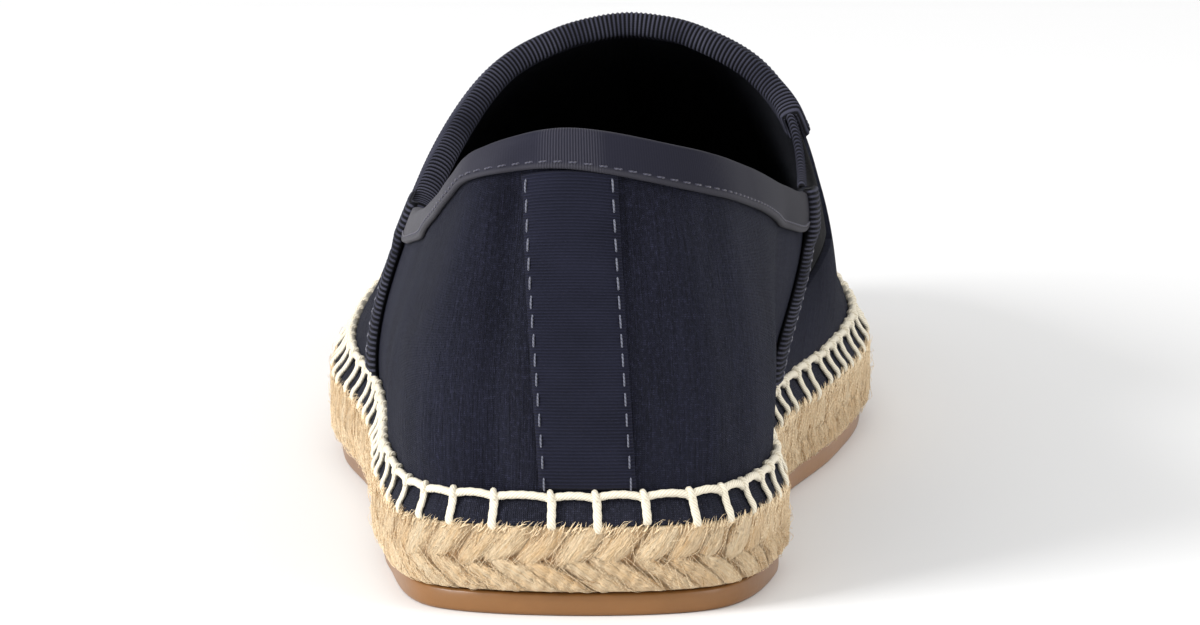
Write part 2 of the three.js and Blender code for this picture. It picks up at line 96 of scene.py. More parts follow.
def row_in_mm(row):
    """One section's shares as millimetres."""
    width = HEEL_WIDTH if row[1] == "heel" else BALL_WIDTH
    height = HEEL_HEIGHT if row[1] == "heel" else INSTEP_HEIGHT
    units = (width, LENGTH, width, LENGTH, height, height, width, width, LENGTH, height, width)
    return [share * unit for share, unit in zip(row[2:], units)]


ROWS = np.array([row_in_mm(row) for row in SECTIONS])
SPAN = np.linalg.norm(np.roll(ROWS[:, :2], -1, 0) - ROWS[:, :2], axis=1)
KNOTS = np.concatenate([[0.0], np.cumsum(SPAN)])
ROUND = KNOTS[-1]
KNOT = {row[0]: KNOTS[i] for i, row in enumerate(SECTIONS)}
_back = np.roll(SPAN, 1)[:, None]
_next = SPAN[:, None]
SLOPES = ((ROWS - np.roll(ROWS, 1, 0)) / _back * _next + (np.roll(ROWS, -1, 0) - ROWS) / _next * _back)
SLOPES = SLOPES / (_back + _next)
print("once round the sole", round(ROUND), "mm")

# %% [markdown]
# A smooth closed curve through the rows gives the section anywhere; a bent spoke from the sole's crease up
# to the topline gives the wall. All points are worked out in whole arrays, which is quick even for fine
# meshes.

# %% Points on the last
PLAN_STEP = 0.5
SIDE_STEP = 0.4
RISE_STEP = 0.01
NEAR_TOP = 0.95
JUTE_BULGE = 0.25


def section_at(s):
    """The section's eleven lengths at s millimetres round the sole."""
    t = np.mod(s, ROUND)
    i = np.clip(np.searchsorted(KNOTS, t, side="right") - 1, 0, len(SPAN) - 1)
    j = (i + 1) % len(SPAN)
    h = SPAN[i][..., None]
    u = ((t - KNOTS[i]) / SPAN[i])[..., None]
    near = (2 * u**3 - 3 * u**2 + 1) * ROWS[i] + (u**3 - 2 * u**2 + u) * h * SLOPES[i]
    far = (3 * u**2 - 2 * u**3) * ROWS[j] + (u**3 - u**2) * h * SLOPES[j]
    return near + far


def outward(s):
    """Direction out of the outline in plan."""
    step = section_at(s + PLAN_STEP)[..., :2] - section_at(s - PLAN_STEP)[..., :2]
    step /= np.linalg.norm(step, axis=-1, keepdims=True)
    return np.stack([step[..., 1], -step[..., 0]], -1)


def spring(y):
    """Lift of the sole towards the toe."""
    u = np.maximum(0.0, (y / LENGTH - SPRING_FROM) / (1 - SPRING_FROM))
    return TOE_SPRING * u * u


def on_ring(s, inset, z):
    """A point inset from the outline at a height over the flat sole."""
    plan = section_at(s)[..., :2] - outward(s) * np.asarray(inset)[..., None]
    return np.concatenate([plan, (z + spring(plan[..., 1]))[..., None]], -1)


def wall(s, w):
    """The upper's outer face: w is 0 at the crease and 1 at the topline."""
    v = section_at(s)
    n = outward(s)
    foot = on_ring(s, v[..., 10], np.full(np.shape(s), CREASE_Z))
    first = foot + np.concatenate([n * v[..., 6:7], v[..., 5:6]], -1)
    top = v[..., 2:5]
    last = top + v[..., 7:10]
    w = np.asarray(w)[..., None]
    k = 1 - w
    return k**3 * foot + 3 * k * k * w * first + 3 * k * w * w * last + w**3 * top


def across(s, w):
    """Change of the wall's point for each millimetre of s."""
    return (wall(s + SIDE_STEP, w) - wall(s - SIDE_STEP, w)) / (2 * SIDE_STEP)


def up_slope(s, w):
    """Change of the wall's point for each whole of w."""
    low = np.clip(w - RISE_STEP, 0, 1)
    high = np.clip(w + RISE_STEP, 0, 1)
    return (wall(s, high) - wall(s, low)) / (high - low)[..., None]


def unit(v):
    """The same direction with length one."""
    return v / np.maximum(np.linalg.norm(v, axis=-1, keepdims=True), 1e-9)


def lifted(s, w, lift=0.0, over=0.0):
    """A point lifted off the wall along its normal; over runs past the topline."""
    s, w = np.broadcast_arrays(np.asarray(s, float), np.asarray(w, float))
    up = up_slope(s, w)
    normal = unit(np.cross(across(s, w), up))
    lift = np.broadcast_to(lift, s.shape)[..., None]
    over = np.broadcast_to(over, s.shape)[..., None]
    return wall(s, w) + normal * lift + unit(up) * over


def along(s, w, length):
    """s moved by a length measured on the wall at w."""
    s, w = np.broadcast_arrays(np.asarray(s, float), np.asarray(w, float))
    return s + length / np.linalg.norm(across(s, w), axis=-1)


def below(s, depth):
    """w at a depth under the topline."""
    s = np.asarray(s, float)
    return 1 - depth / np.linalg.norm(up_slope(s, np.full(s.shape, NEAR_TOP)), axis=-1)


_outline = on_ring(np.linspace(0, ROUND, 4000), -JUTE_BULGE, 0.0)
MIDDLE = (_outline.min(0) + _outline.max(0)) / 2
MIDDLE[2] = 0.0
print("outline's middle", MIDDLE.round(2), "mm")

# %% [markdown]
# Every piece is one mesh built from a grid of points. A helper turns the grid into an object in metres, in
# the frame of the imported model, with a cloth map: its U and V are real millimetres, so weaves keep their
# size.

# %% Mesh helpers
def grid_faces(cols, rows, wrap_cols=False, wrap_rows=False):
    """Four sided faces of a grid stored column by column."""
    i = np.arange(cols if wrap_cols else cols - 1)[:, None]
    j = np.arange(rows if wrap_rows else rows - 1)[None, :]
    i2, j2 = (i + 1) % cols, (j + 1) % rows
    return np.stack([i * rows + j, i2 * rows + j, i2 * rows + j2, i * rows + j2], -1).reshape(-1, 4)


def piece(name, points, faces, uv=None, materials=(), face_material=None, wrap=None, values=()):
    """A mesh object from millimetre points; uv holds millimetres too.

    wrap is (columns, faces per column, uv of the first column when met again after one round)."""
    mesh = bpy.data.meshes.new(name)
    place = (np.asarray(points) - MIDDLE) / 1000.0
    mesh.from_pydata(place.tolist(), [], [list(map(int, f)) for f in faces])
    if uv is not None:
        layer = mesh.uv_layers.new(name="cloth")
        loops = np.empty(len(mesh.loops), dtype=np.int32)
        mesh.loops.foreach_get("vertex_index", loops)
        flat = np.asarray(uv, dtype=np.float32)[loops]
        if wrap is not None:
            cols, per_column, again = wrap
            last = slice(4 * (cols - 1) * per_column, 4 * cols * per_column)
            home = loops[last] < len(again)
            part = flat[last]
            part[home] = np.asarray(again, dtype=np.float32)[loops[last][home]]
            flat[last] = part
        layer.data.foreach_set("uv", flat.ravel())
    for material in materials:
        mesh.materials.append(material)
    if face_material is not None:
        mesh.polygons.foreach_set("material_index", np.asarray(face_material, dtype=np.int32))
    mesh.polygons.foreach_set("use_smooth", np.full(len(mesh.polygons), True))
    for label, data in values:
        layer = mesh.attributes.new(label, "FLOAT", "POINT")
        layer.data.foreach_set("value", np.asarray(data, dtype=np.float32).ravel())
    mesh.update()
    obj = bpy.data.objects.new(name, mesh)
    bpy.context.scene.collection.objects.link(obj)
    print(name, len(mesh.polygons), "faces")
    return obj


def mount(obj, slot, *nodes):
    """The piece rides on the shoe and may stand for solids, which it hides; slot is not used."""
    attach(obj, "root")
    if nodes:
        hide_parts(*nodes)
    return obj


def ends_closed(cols, rows, faces):
    """Adds caps to a tube of closed loops stored column by column."""
    caps = [list(range(rows))[::-1], list(range((cols - 1) * rows, cols * rows))]
    return [list(face) for face in faces] + caps

# %% [markdown]
# ## Finishes
# Each finish is a small node graph. The cloth map drives the yarns, so the pattern sits on the piece and
# holds in every view. Numbers that are the same all over are set straight on the shader.

# %% Material helpers
BLACK = (0, 0, 0)
WHITE = (1, 1, 1)
COOL_SHEEN = (0.8, 0.8, 0.9)


class Graph:
    """Short names for adding and linking shader nodes."""

    def __init__(self, name, roughness, specular=0.5, sheen=0.0, sheen_roughness=0.5, tint=WHITE):
        self.material = bpy.data.materials.new(name)
        self.material.use_nodes = True
        self.tree = self.material.node_tree
        self.shader = self.tree.nodes["Principled BSDF"]
        self.shader.inputs["Roughness"].default_value = roughness
        self.shader.inputs["Specular IOR Level"].default_value = specular
        self.shader.inputs["Sheen Weight"].default_value = sheen
        self.shader.inputs["Sheen Roughness"].default_value = sheen_roughness
        self.shader.inputs["Sheen Tint"].default_value = (*tint, 1)

    def add(self, kind, **settings):
        node = self.tree.nodes.new(kind)
        for key, value in settings.items():
            setattr(node, key, value)
        return node

    def link(self, source, target):
        self.tree.links.new(source, target)

    def feed(self, source, socket):
        """Sets a socket to a number or a colour, or links it to another node."""
        if isinstance(source, tuple):
            socket.default_value = (*source, 1)
        elif isinstance(source, (int, float)):
            socket.default_value = source
        else:
            self.link(source, socket)

    def cloth(self, *scale):
        """The cloth map stretched by a scale per axis, in cycles a millimetre."""
        uv = self.add("ShaderNodeUVMap", uv_map="cloth")
        mapping = self.add("ShaderNodeMapping")
        mapping.inputs["Scale"].default_value = (*scale, 1.0)
        self.link(uv.outputs["UV"], mapping.inputs["Vector"])
        return mapping.outputs["Vector"]

    def solid(self, *scale):
        """Object coordinates in millimetres times a scale."""
        coords = self.add("ShaderNodeTexCoord")
        mapping = self.add("ShaderNodeMapping")
        mapping.inputs["Scale"].default_value = tuple(1000.0 * k for k in scale)
        self.link(coords.outputs["Object"], mapping.inputs["Vector"])
        return mapping.outputs["Vector"]

    def value(self, name):
        """A value that the mesh carries at its points."""
        return self.add("ShaderNodeAttribute", attribute_name=name).outputs["Fac"]

    def noise(self, vector, detail=3.0, roughness=0.55):
        node = self.add("ShaderNodeTexNoise")
        node.inputs["Scale"].default_value = 1.0
        node.inputs["Detail"].default_value = detail
        node.inputs["Roughness"].default_value = roughness
        self.link(vector, node.inputs["Vector"])
        return node.outputs["Fac"]

    def wave(self, vector, direction, pitch, distortion, detail=1.0):
        """Bands with a pitch in millimetres of the cloth map."""
        node = self.add("ShaderNodeTexWave", wave_type="BANDS", bands_direction=direction)
        node.inputs["Scale"].default_value = math.pi / 5.0 / pitch
        node.inputs["Distortion"].default_value = distortion
        node.inputs["Detail"].default_value = detail
        self.link(vector, node.inputs["Vector"])
        return node.outputs["Fac"]

    def times(self, a, b):
        node = self.add("ShaderNodeMath", operation="MULTIPLY")
        self.feed(a, node.inputs[0])
        self.feed(b, node.inputs[1])
        return node.outputs[0]

    def ramp(self, factor, *stops):
        node = self.add("ShaderNodeValToRGB")
        band = node.color_ramp
        while len(band.elements) < len(stops):
            band.elements.new(0.5)
        for element, (place, colour) in zip(band.elements, stops):
            element.position = place
            element.color = (*colour, 1)
        self.link(factor, node.inputs["Fac"])
        return node.outputs["Color"]

    def mix(self, factor, a, b):
        node = self.add("ShaderNodeMix", data_type="RGBA", blend_type="MIX")
        self.feed(factor, node.inputs[0])
        self.feed(a, node.inputs[6])
        self.feed(b, node.inputs[7])
        return node.outputs[2]

    def colour(self, source):
        self.link(source, self.shader.inputs["Base Color"])

    def bump(self, height, distance):
        """Raises the surface by a height; distance is in millimetres."""
        node = self.add("ShaderNodeBump")
        node.inputs["Strength"].default_value = 1.0
        node.inputs["Distance"].default_value = distance / 1000.0
        if self.shader.inputs["Normal"].links:
            self.link(self.shader.inputs["Normal"].links[0].from_socket, node.inputs["Normal"])
        self.link(height, node.inputs["Height"])
        self.link(node.outputs["Normal"], self.shader.inputs["Normal"])


def shaded(colour, share):
    """The colour made darker or lighter by a share."""
    return tuple(share * c for c in colour)

# %% [markdown]
# Canvas is a plain weave of dull cotton: fine upright yarns, a little uneven, with a faint sheen at grazing
# light. A picture of cloth would repeat and blur, so two sets of bands make warp and weft, stretched noise
# makes the uneven yarns, and slow noise makes the worn, clouded tone. Where warp and weft cross, the yarn
# tops are painted pale, a painted highlight, only where the slub noise is high.

# %% Canvas
NAVY_DARK = (0.0040, 0.0043, 0.0100)
NAVY_LIGHT = (0.0150, 0.0158, 0.0300)
# painted highlight: how much lighter the yarn tops are painted where warp and weft cross
PICK_HIGHLIGHT = 4.2
WEFT_TO_WARP = 1.3


def canvas_finish(name, dark, light, yarn=0.55):
    g = Graph(name, roughness=0.9, specular=0.12, sheen=0.05, sheen_roughness=0.5, tint=(0.6, 0.65, 0.85))
    cloth = g.cloth(1, 1)
    warp = g.wave(cloth, "X", yarn, distortion=1.2, detail=2.0)
    weft = g.wave(cloth, "Y", yarn * WEFT_TO_WARP, distortion=0.9, detail=2.0)
    streak = g.noise(g.cloth(2.1, 0.05), detail=4.0, roughness=0.65)
    slub = g.noise(g.cloth(1.4, 0.9), detail=4.0, roughness=0.7)
    cloud = g.noise(g.solid(0.03, 0.03, 0.02), detail=2.0)
    base = g.ramp(streak, (0.34, dark), (0.70, light))
    worn = g.mix(0.45, base, g.ramp(cloud, (0.42, dark), (0.62, light)))
    # painted highlight on the yarn tops where warp and weft cross, only where the slub noise is high
    pick_highlight = g.times(g.times(warp, weft), g.ramp(slub, (0.48, BLACK), (0.72, WHITE)))
    g.colour(g.mix(pick_highlight, worn, shaded(light, PICK_HIGHLIGHT)))
    g.bump(warp, 0.14)
    g.bump(weft, 0.10)
    g.bump(streak, 0.3)
    return g.material


CANVAS = canvas_finish("navy_canvas", NAVY_DARK, NAVY_LIGHT)
MARGIN = canvas_finish("margin_canvas", (0.004, 0.0045, 0.009), (0.020, 0.021, 0.034), yarn=0.7)
LINING = canvas_finish("dark_lining", (0.0015, 0.0015, 0.002), (0.004, 0.004, 0.005))
print("canvas:", CANVAS.name, MARGIN.name, LINING.name)

# %% [markdown]
# Ribbon is woven with thick ribs across it. On the throat they are large enough to be mesh, which then
# carries their height as a value, and the grooves are painted dark with it, a painted shade. On the heel
# strip and the elastic they are finer, so bands and a bump are enough; the bands paint the rib crests
# lighter, a painted highlight.

# %% Ribbons and elastic
# painted shade: the share of the dark colour that the rib grooves are painted
GROOVE_SHADE_SHARE = 0.08
# painted highlight: how much lighter the rib crests are painted
RIB_CREST_HIGHLIGHT = 2.2
CROSS_YARN = 0.4


def ribbon_base(name, dark, light, cross_way):
    """The parts that all ribbons share: graph, cloth map, tone, fine noise and cross yarns."""
    g = Graph(name, roughness=0.75, specular=0.12, sheen=0.03, sheen_roughness=0.4, tint=COOL_SHEEN)
    cloth = g.cloth(1, 1)
    cross = g.wave(cloth, cross_way, CROSS_YARN, distortion=0.5)
    tone = g.ramp(g.noise(g.cloth(0.09, 0.14)), (0.32, dark), (0.68, light))
    fine = g.noise(g.cloth(2.4, 2.4))
    return g, cloth, tone, fine, cross


def carved_ribbon_finish(name, dark, light):
    g, _, tone, fine, cross = ribbon_base(name, dark, light, "Y")
    ribs = g.ramp(g.value("rib"), (0.32, BLACK), (0.85, WHITE))
    # the grooves are painted near black, a painted shade
    g.colour(g.mix(ribs, shaded(dark, GROOVE_SHADE_SHARE), tone))
    g.bump(cross, 0.04)
    g.bump(fine, 0.05)
    return g.material


def woven_ribbon_finish(name, dark, light, rib, rib_way, deep, mark):
    """Ribs at a pitch, deep in millimetres; mark: the painted highlight on their crests."""
    g, cloth, tone, fine, cross = ribbon_base(name, dark, light, "Y" if rib_way == "X" else "X")
    ribs = g.wave(cloth, rib_way, rib, distortion=0.25)
    # rib crests painted lighter, a painted highlight
    g.colour(g.mix(g.times(g.times(ribs, fine), mark), tone, shaded(light, RIB_CREST_HIGHLIGHT)))
    g.bump(ribs, deep)
    g.bump(cross, 0.04)
    g.bump(fine, 0.05)
    return g.material


THROAT = carved_ribbon_finish("throat_ribbon", (0.026, 0.027, 0.044), (0.060, 0.061, 0.088))
HEEL_TAPE = woven_ribbon_finish(
    "heel_tape", (0.0052, 0.0057, 0.0130), (0.0100, 0.0108, 0.0225),
    rib=1.15, rib_way="Y", deep=0.25, mark=0.85,
)
ELASTIC = woven_ribbon_finish(
    "black_elastic", (0.0012, 0.0012, 0.0016), (0.003, 0.003, 0.004),
    rib=0.9, rib_way="X", deep=0.12, mark=0.8,
)
print("ribbons:", THROAT.name, HEEL_TAPE.name, ELASTIC.name)

# %% [markdown]
# The collar's ribbon changes along its way round the heel: pale and smooth at the outer side, a painted
# light where the key lamp falls, ribbed at the back seam with rib crests painted lighter, a painted
# highlight, and dark with a paler lower rim at the inner side, the rim a painted highlight. Painting it would
# need a picture, so the mesh carries three values, its place along the ribbon, how ribbed it is and how near
# the rim, and the finish reads them.

# %% Collar ribbon
COLLAR_LIT_TONES = (
    # place along the ribbon, colour; the pale outer end is painted light from the key lamp
    (0.0, (0.105, 0.102, 0.112)), (0.33, (0.082, 0.080, 0.092)), (0.46, (0.019, 0.019, 0.032)),
    (0.62, (0.010, 0.010, 0.019)), (1.0, (0.007, 0.006, 0.010)),
)
COLLAR_RIB = 0.96


def collar_finish():
    g = Graph("collar_ribbon", 0.65, specular=0.07, sheen=0.03, sheen_roughness=0.4, tint=COOL_SHEEN)
    shade = g.noise(g.cloth(0.12, 0.2))
    fine = g.noise(g.cloth(2.6, 1.2), roughness=0.6)
    ribs = g.times(g.wave(g.cloth(1, 1), "X", COLLAR_RIB, distortion=0.2), g.value("ribbed"))
    # painted light: the place ramp is pale at the outer side, where the key lamp falls, with random patches
    lit_uneven = g.mix(g.times(shade, 0.5), g.ramp(g.value("place"), *COLLAR_LIT_TONES), (0.012, 0.012, 0.018))
    # painted highlight: the rib crests painted lighter
    rib_highlighted = g.mix(g.times(ribs, 0.7), lit_uneven, (0.060, 0.059, 0.078))
    # painted highlight: the rolled lower rim painted paler
    rim_highlighted = g.mix(g.times(g.value("rim"), 0.5), rib_highlighted, (0.060, 0.058, 0.067))
    g.colour(g.mix(g.times(fine, 0.25), rim_highlighted, (0.010, 0.010, 0.014)))
    g.bump(ribs, 0.12)
    g.bump(fine, 0.06)
    return g.material


COLLAR = collar_finish()
print("collar:", COLLAR.name)

# %% [markdown]
# Jute is straw coloured bast fibre, laid along each strand; the gaps between the strands are painted
# darker, a painted shade. Its fibres could be thousands of tubes, but noise stretched along the strands is
# lighter and looks the same at this size. The mesh carries a tone for each strand and how dark the painted
# shade in its gaps is.

# %% Jute
# colour of the painted shade in the gaps between strands
GAP_SHADE_BROWN = (0.33, 0.135, 0.035)


def jute_finish():
    g = Graph("jute_fibre", 0.85, specular=0.15, sheen=0.2, sheen_roughness=0.6, tint=(1.0, 0.88, 0.7))
    hair = g.noise(g.cloth(4.6, 0.30), detail=5.0, roughness=0.75)
    bundle = g.noise(g.cloth(1.3, 0.11), detail=4.0, roughness=0.65)
    patch = g.noise(g.solid(0.05, 0.05, 0.07))
    spot = g.noise(g.solid(0.5, 0.5, 0.55), detail=4.0, roughness=0.6)
    straw = g.ramp(hair, (0.30, (0.50, 0.29, 0.125)), (0.43, (0.77, 0.54, 0.30)), (0.58, (0.90, 0.74, 0.52)))
    pale = g.ramp(bundle, (0.32, (0.62, 0.385, 0.18)), (0.45, (0.84, 0.63, 0.38)), (0.60, (0.91, 0.78, 0.57)))
    patches = g.ramp(patch, (0.42, BLACK), (0.7, (0.35, 0.35, 0.35)))
    warm = g.mix(patches, g.mix(0.5, straw, pale), (0.78, 0.51, 0.26))
    spotted = g.mix(g.ramp(spot, (0.60, BLACK), (0.74, (0.55, 0.55, 0.55))), warm, (0.48, 0.24, 0.08))
    varied = g.mix(g.value("tone"), spotted, (0.70, 0.44, 0.21))
    # painted shade in the gaps between strands, broken up by the hairs
    ragged_gap_shade = g.times(g.value("groove_shade"), g.ramp(hair, (0.3, WHITE), (0.62, (0.5, 0.5, 0.5))))
    g.colour(g.mix(ragged_gap_shade, varied, GAP_SHADE_BROWN))
    g.bump(bundle, 0.8)
    g.bump(hair, 0.7)
    return g.material


JUTE = jute_finish()
print("jute:", JUTE.name)

# %% [markdown]
# Thread and loose fibres share one finish, a twist at the pitch of the plies, painted darker in the grooves
# between the plies, a painted shade. The outsole is tan gum rubber, smooth and a little waxy, with slow
# changes of tone and small specks.

# %% Thread and rubber
def thread_finish(name, dark, light, ply=0.7):
    g = Graph(name, roughness=0.75, specular=0.3, sheen=0.3, sheen_roughness=0.4, tint=(1, 0.95, 0.85))
    twist = g.wave(g.cloth(1, 1), "DIAGONAL", ply, distortion=0.8, detail=2.0)
    # the dark end is painted shade in the grooves between the plies
    g.colour(g.ramp(twist, (0.05, dark), (0.5, light)))
    g.bump(twist, 0.05)
    return g.material


def rubber_finish():
    g = Graph("gum_rubber", roughness=0.34)
    speck = g.noise(g.solid(0.5, 0.5, 0.5), detail=4.0)
    tone = g.noise(g.solid(0.03, 0.03, 0.06), detail=2.0)
    tan = g.ramp(tone, (0.35, (0.165, 0.070, 0.018)), (0.65, (0.235, 0.102, 0.026)))
    g.colour(g.mix(g.times(speck, 0.25), tan, (0.28, 0.13, 0.04)))
    g.bump(speck, 0.04)
    return g.material


FUZZ = thread_finish("loose_fibre", (0.70, 0.49, 0.27), (0.93, 0.76, 0.52))
DARK_FUZZ = thread_finish("brown_fibre", (0.30, 0.15, 0.05), (0.48, 0.28, 0.11))
ECRU = thread_finish("ecru_thread", (0.64, 0.57, 0.44), (0.82, 0.76, 0.62))
GREY_THREAD = thread_finish("grey_thread", (0.07, 0.075, 0.10), (0.15, 0.155, 0.20))
NAVY_THREAD = thread_finish("navy_thread", (0.03, 0.03, 0.05), (0.07, 0.07, 0.10))
PALE_GREY_THREAD = thread_finish("pale_grey_thread", (0.10, 0.10, 0.12), (0.26, 0.26, 0.30))
RUBBER = rubber_finish()
print("threads and rubber made, last", RUBBER.name)

# %% [markdown]
# ## The upper
# One shell of canvas: outside, over the rim and down the lining. It could be two sheets, but one closed
# skin has no gaps. Soft folds are given as shallow troughs and ridges, each with a centre, a lean and a
# width. The vamp lies over the quarter with a step, and a notch beside the throat leaves room for the
# elastic.

# %% Folds of the canvas
EDGE_IN = KNOT["edge_in"]
EDGE_OUT = KNOT["edge_out"]
GORE_START = EDGE_IN + 0.021 * LENGTH
GORE_END = KNOT["gore_in"]
STEP_RUN = 0.3
FOLDS = [
    # where, low end s and w, high end s and w, half width mm, depth mm
    ("inner heel fold", 20.0, 0.05, 14.0, 0.78, 4.5, -0.7),
    ("inner heel ridge", 27.0, 0.05, 22.0, 0.8, 5.0, 0.6),
    ("inner corner fold", 37.0, 0.1, 33.0, 0.85, 6.0, -0.8),
    ("inner waist trough", 84.0, 0.05, 92.0, 0.9, 9.0, -0.9),
    ("outer heel fold", ROUND - 14.5, 0.0, ROUND - 13.0, 0.9, 4.5, -1.7),
    ("outer heel ridge", ROUND - 27.0, 0.0, ROUND - 23.0, 0.9, 7.0, 0.8),
    ("outer collar wave", ROUND - 46.0, 0.5, ROUND - 40.0, 1.1, 9.0, -0.6),
    ("outer waist trough", ROUND - 86.0, 0.1, ROUND - 84.0, 0.9, 9.0, -0.8),
    ("vamp cross wave in", 205.0, 0.1, 180.0, 0.7, 12.0, -1.1),
    ("vamp cross wave out", 430.0, 0.1, 470.0, 0.7, 12.0, -1.1),
    ("toe dimple in", 262.0, 0.2, 250.0, 0.6, 10.0, -0.8),
    ("toe dimple out", 350.0, 0.2, 362.0, 0.6, 10.0, -0.7),
]
# shares of the wall over which a fold fades and how far it runs past its ends
FADE = 0.2
FADE_OVER = 0.12


def fold_lift(s, w):
    """How far the folds push the canvas out or in, in millimetres, each fading over its ends."""
    s, w = np.broadcast_arrays(np.asarray(s, float), np.asarray(w, float))
    total = np.zeros(s.shape)
    for _, s0, w0, s1, w1, half, depth in FOLDS:
        t = np.clip((w - w0) / (w1 - w0), 0, 1)
        centre = s0 + (s1 - s0) * t
        off = np.mod(s - centre + ROUND / 2, ROUND) - ROUND / 2
        ends = np.clip((w - w0 + FADE_OVER) / FADE, 0, 1) * np.clip((w1 + FADE_OVER - w) / FADE, 0, 1)
        total += depth * np.exp(-((off / half) ** 2)) * ends * ends * (3 - 2 * ends)
    return total


def vamp_step(s):
    """1 on the vamp, 0 on the quarter."""
    t = np.mod(s, ROUND)
    rise = np.clip((t - EDGE_IN) / STEP_RUN, 0, 1)
    fall = np.clip((EDGE_OUT - t) / STEP_RUN, 0, 1)
    return rise * fall

# %% [markdown]
# The blanket stitch pulls the cloth down at every leg, and the cloth bulges in between. So the places of
# the legs are needed before the canvas is made. An even spacing would look like a machine's; each step gets
# its own chance.

# %% Stitch places along the crease
LEG_PITCH = 8.4
LEG_SPREAD = 0.14
FIRST_LEG = 5.0
PUCKER_ROUND = 0.8
legs = [FIRST_LEG]
while legs[-1] < ROUND - FIRST_LEG:
    legs.append(legs[-1] + LEG_PITCH * (1 + LEG_SPREAD * rng.standard_normal()))
if legs[-1] > ROUND + 1:
    legs.pop()
LEGS = np.sort(np.mod(legs, ROUND))
print(len(LEGS), "blanket stitches")


def pucker(s):
    """0 at a stitch leg and 1 half way to the next, where the cloth bulges."""
    ring = np.concatenate([LEGS, [LEGS[0] + ROUND]])
    t = np.mod(s, ROUND)
    t = np.where(t < LEGS[0], t + ROUND, t)
    k = np.clip(np.searchsorted(ring, t, side="right") - 1, 0, len(ring) - 2)
    u = (t - ring[k]) / (ring[k + 1] - ring[k])
    return np.sin(np.pi * np.clip(u, 0, 1)) ** PUCKER_ROUND

# %% [markdown]
# The shell is worked out as closed loops across the wall, one for each place round the sole: margin, outer
# face, rim, lining and back under the foot. The margin is the cloth below the crease, which lies on the
# jute. Loops this dense hold the folds and puckers as real shape, so the light falls on them from every
# side.

# %% Lift of the canvas
# shares run from the margin's end to the crease and from the crease to the topline
MARGIN_IN = 0.036 * JUTE_THICK
MARGIN_Z = CREASE_Z - 0.3 * JUTE_THICK
FOOT_SHARE = 0.05
FOOT_PUCKER = 0.35
MARGIN_PUCKER = 0.45
MARGIN_SHARES = np.array([0.0, 0.08, 0.25, 0.5, 0.75, 0.92])
MARGIN_RUN = 6.0
WALL_RUN = 68.0
WALL_SHARES = np.concatenate([[0.0, 0.012, 0.03], np.linspace(0.055, 0.975, 44), [0.988, 0.996]])
LINING_SHARES = np.linspace(0.98, 0.06, 20)
LINING_FOLD = 0.8


def skin_lift(s, w):
    """Full lift of the canvas off the last: step, folds and puckers."""
    foot = np.exp(-((w / FOOT_SHARE) ** 2))
    step = VAMP_STEP * vamp_step(s) * np.clip(w / FOOT_SHARE, 0, 1)
    return step + fold_lift(s, w) + FOOT_PUCKER * foot * (pucker(s) - 0.5)

# %% [markdown]
# Going once round a loop gives the cloth's section: the margin lies on the jute, the outer face climbs the
# last, the rim turns over and the lining comes back down. Where the gore sits, the loop stops lower, which
# leaves the notch. Cutting a notch out afterwards would leave ragged edges.

# %% Loops of the shell
def shell_profile(s):
    """Closed loops of points, outer margin end, up, over the rim, down inside and back."""
    lip = section_at(s)[:, 10]
    puff = MARGIN_PUCKER * (pucker(s) - 0.4)
    gore = (np.mod(s, ROUND) > GORE_START + 0.05) & (np.mod(s, ROUND) < GORE_END - 0.05)
    top = np.where(gore, GORE_FLOOR, 1.0)
    columns, cloth = [], []

    def add(points, run):
        columns.append(points)
        cloth.append(np.stack([s, np.broadcast_to(run, s.shape)], -1))

    for share in MARGIN_SHARES:
        inset = MARGIN_IN + (lip - MARGIN_IN) * share**1.25
        z = MARGIN_Z + (CREASE_Z - MARGIN_Z) * share + puff * math.sin(math.pi * min(1, share + 0.15)) * 0.6
        add(on_ring(s, inset - puff * 0.7, z), MARGIN_RUN * (share - 1))
    for share in WALL_SHARES:
        w = share * top
        add(lifted(s, w, skin_lift(s, w)), WALL_RUN * w)
    rim = skin_lift(s, top)
    for lift, over in ((rim - 0.15, 0.0), ((rim - WALL) / 2, 0.12), (-WALL + 0.15, 0.0)):
        add(lifted(s, top, lift, over), WALL_RUN * top)
    for share in LINING_SHARES:
        w = share * top
        add(lifted(s, w, -WALL + LINING_FOLD * fold_lift(s, w)), WALL_RUN * w)
    add(on_ring(s, lip + WALL, JUTE_TOP + 0.45), 0.0)
    add(on_ring(s, lip + 0.35, JUTE_TOP - 0.05), -1.0)
    add(on_ring(s, MARGIN_IN + 1.0, MARGIN_Z - 0.25), -5.0)
    return np.stack(columns, 1), np.stack(cloth, 1)

# %% [markdown]
# The loops stand close together, with extra ones at the vamp's edges and at the notch, so the step stays
# sharp. Three finishes share the mesh: canvas outside, a coarser margin, dark lining inside.

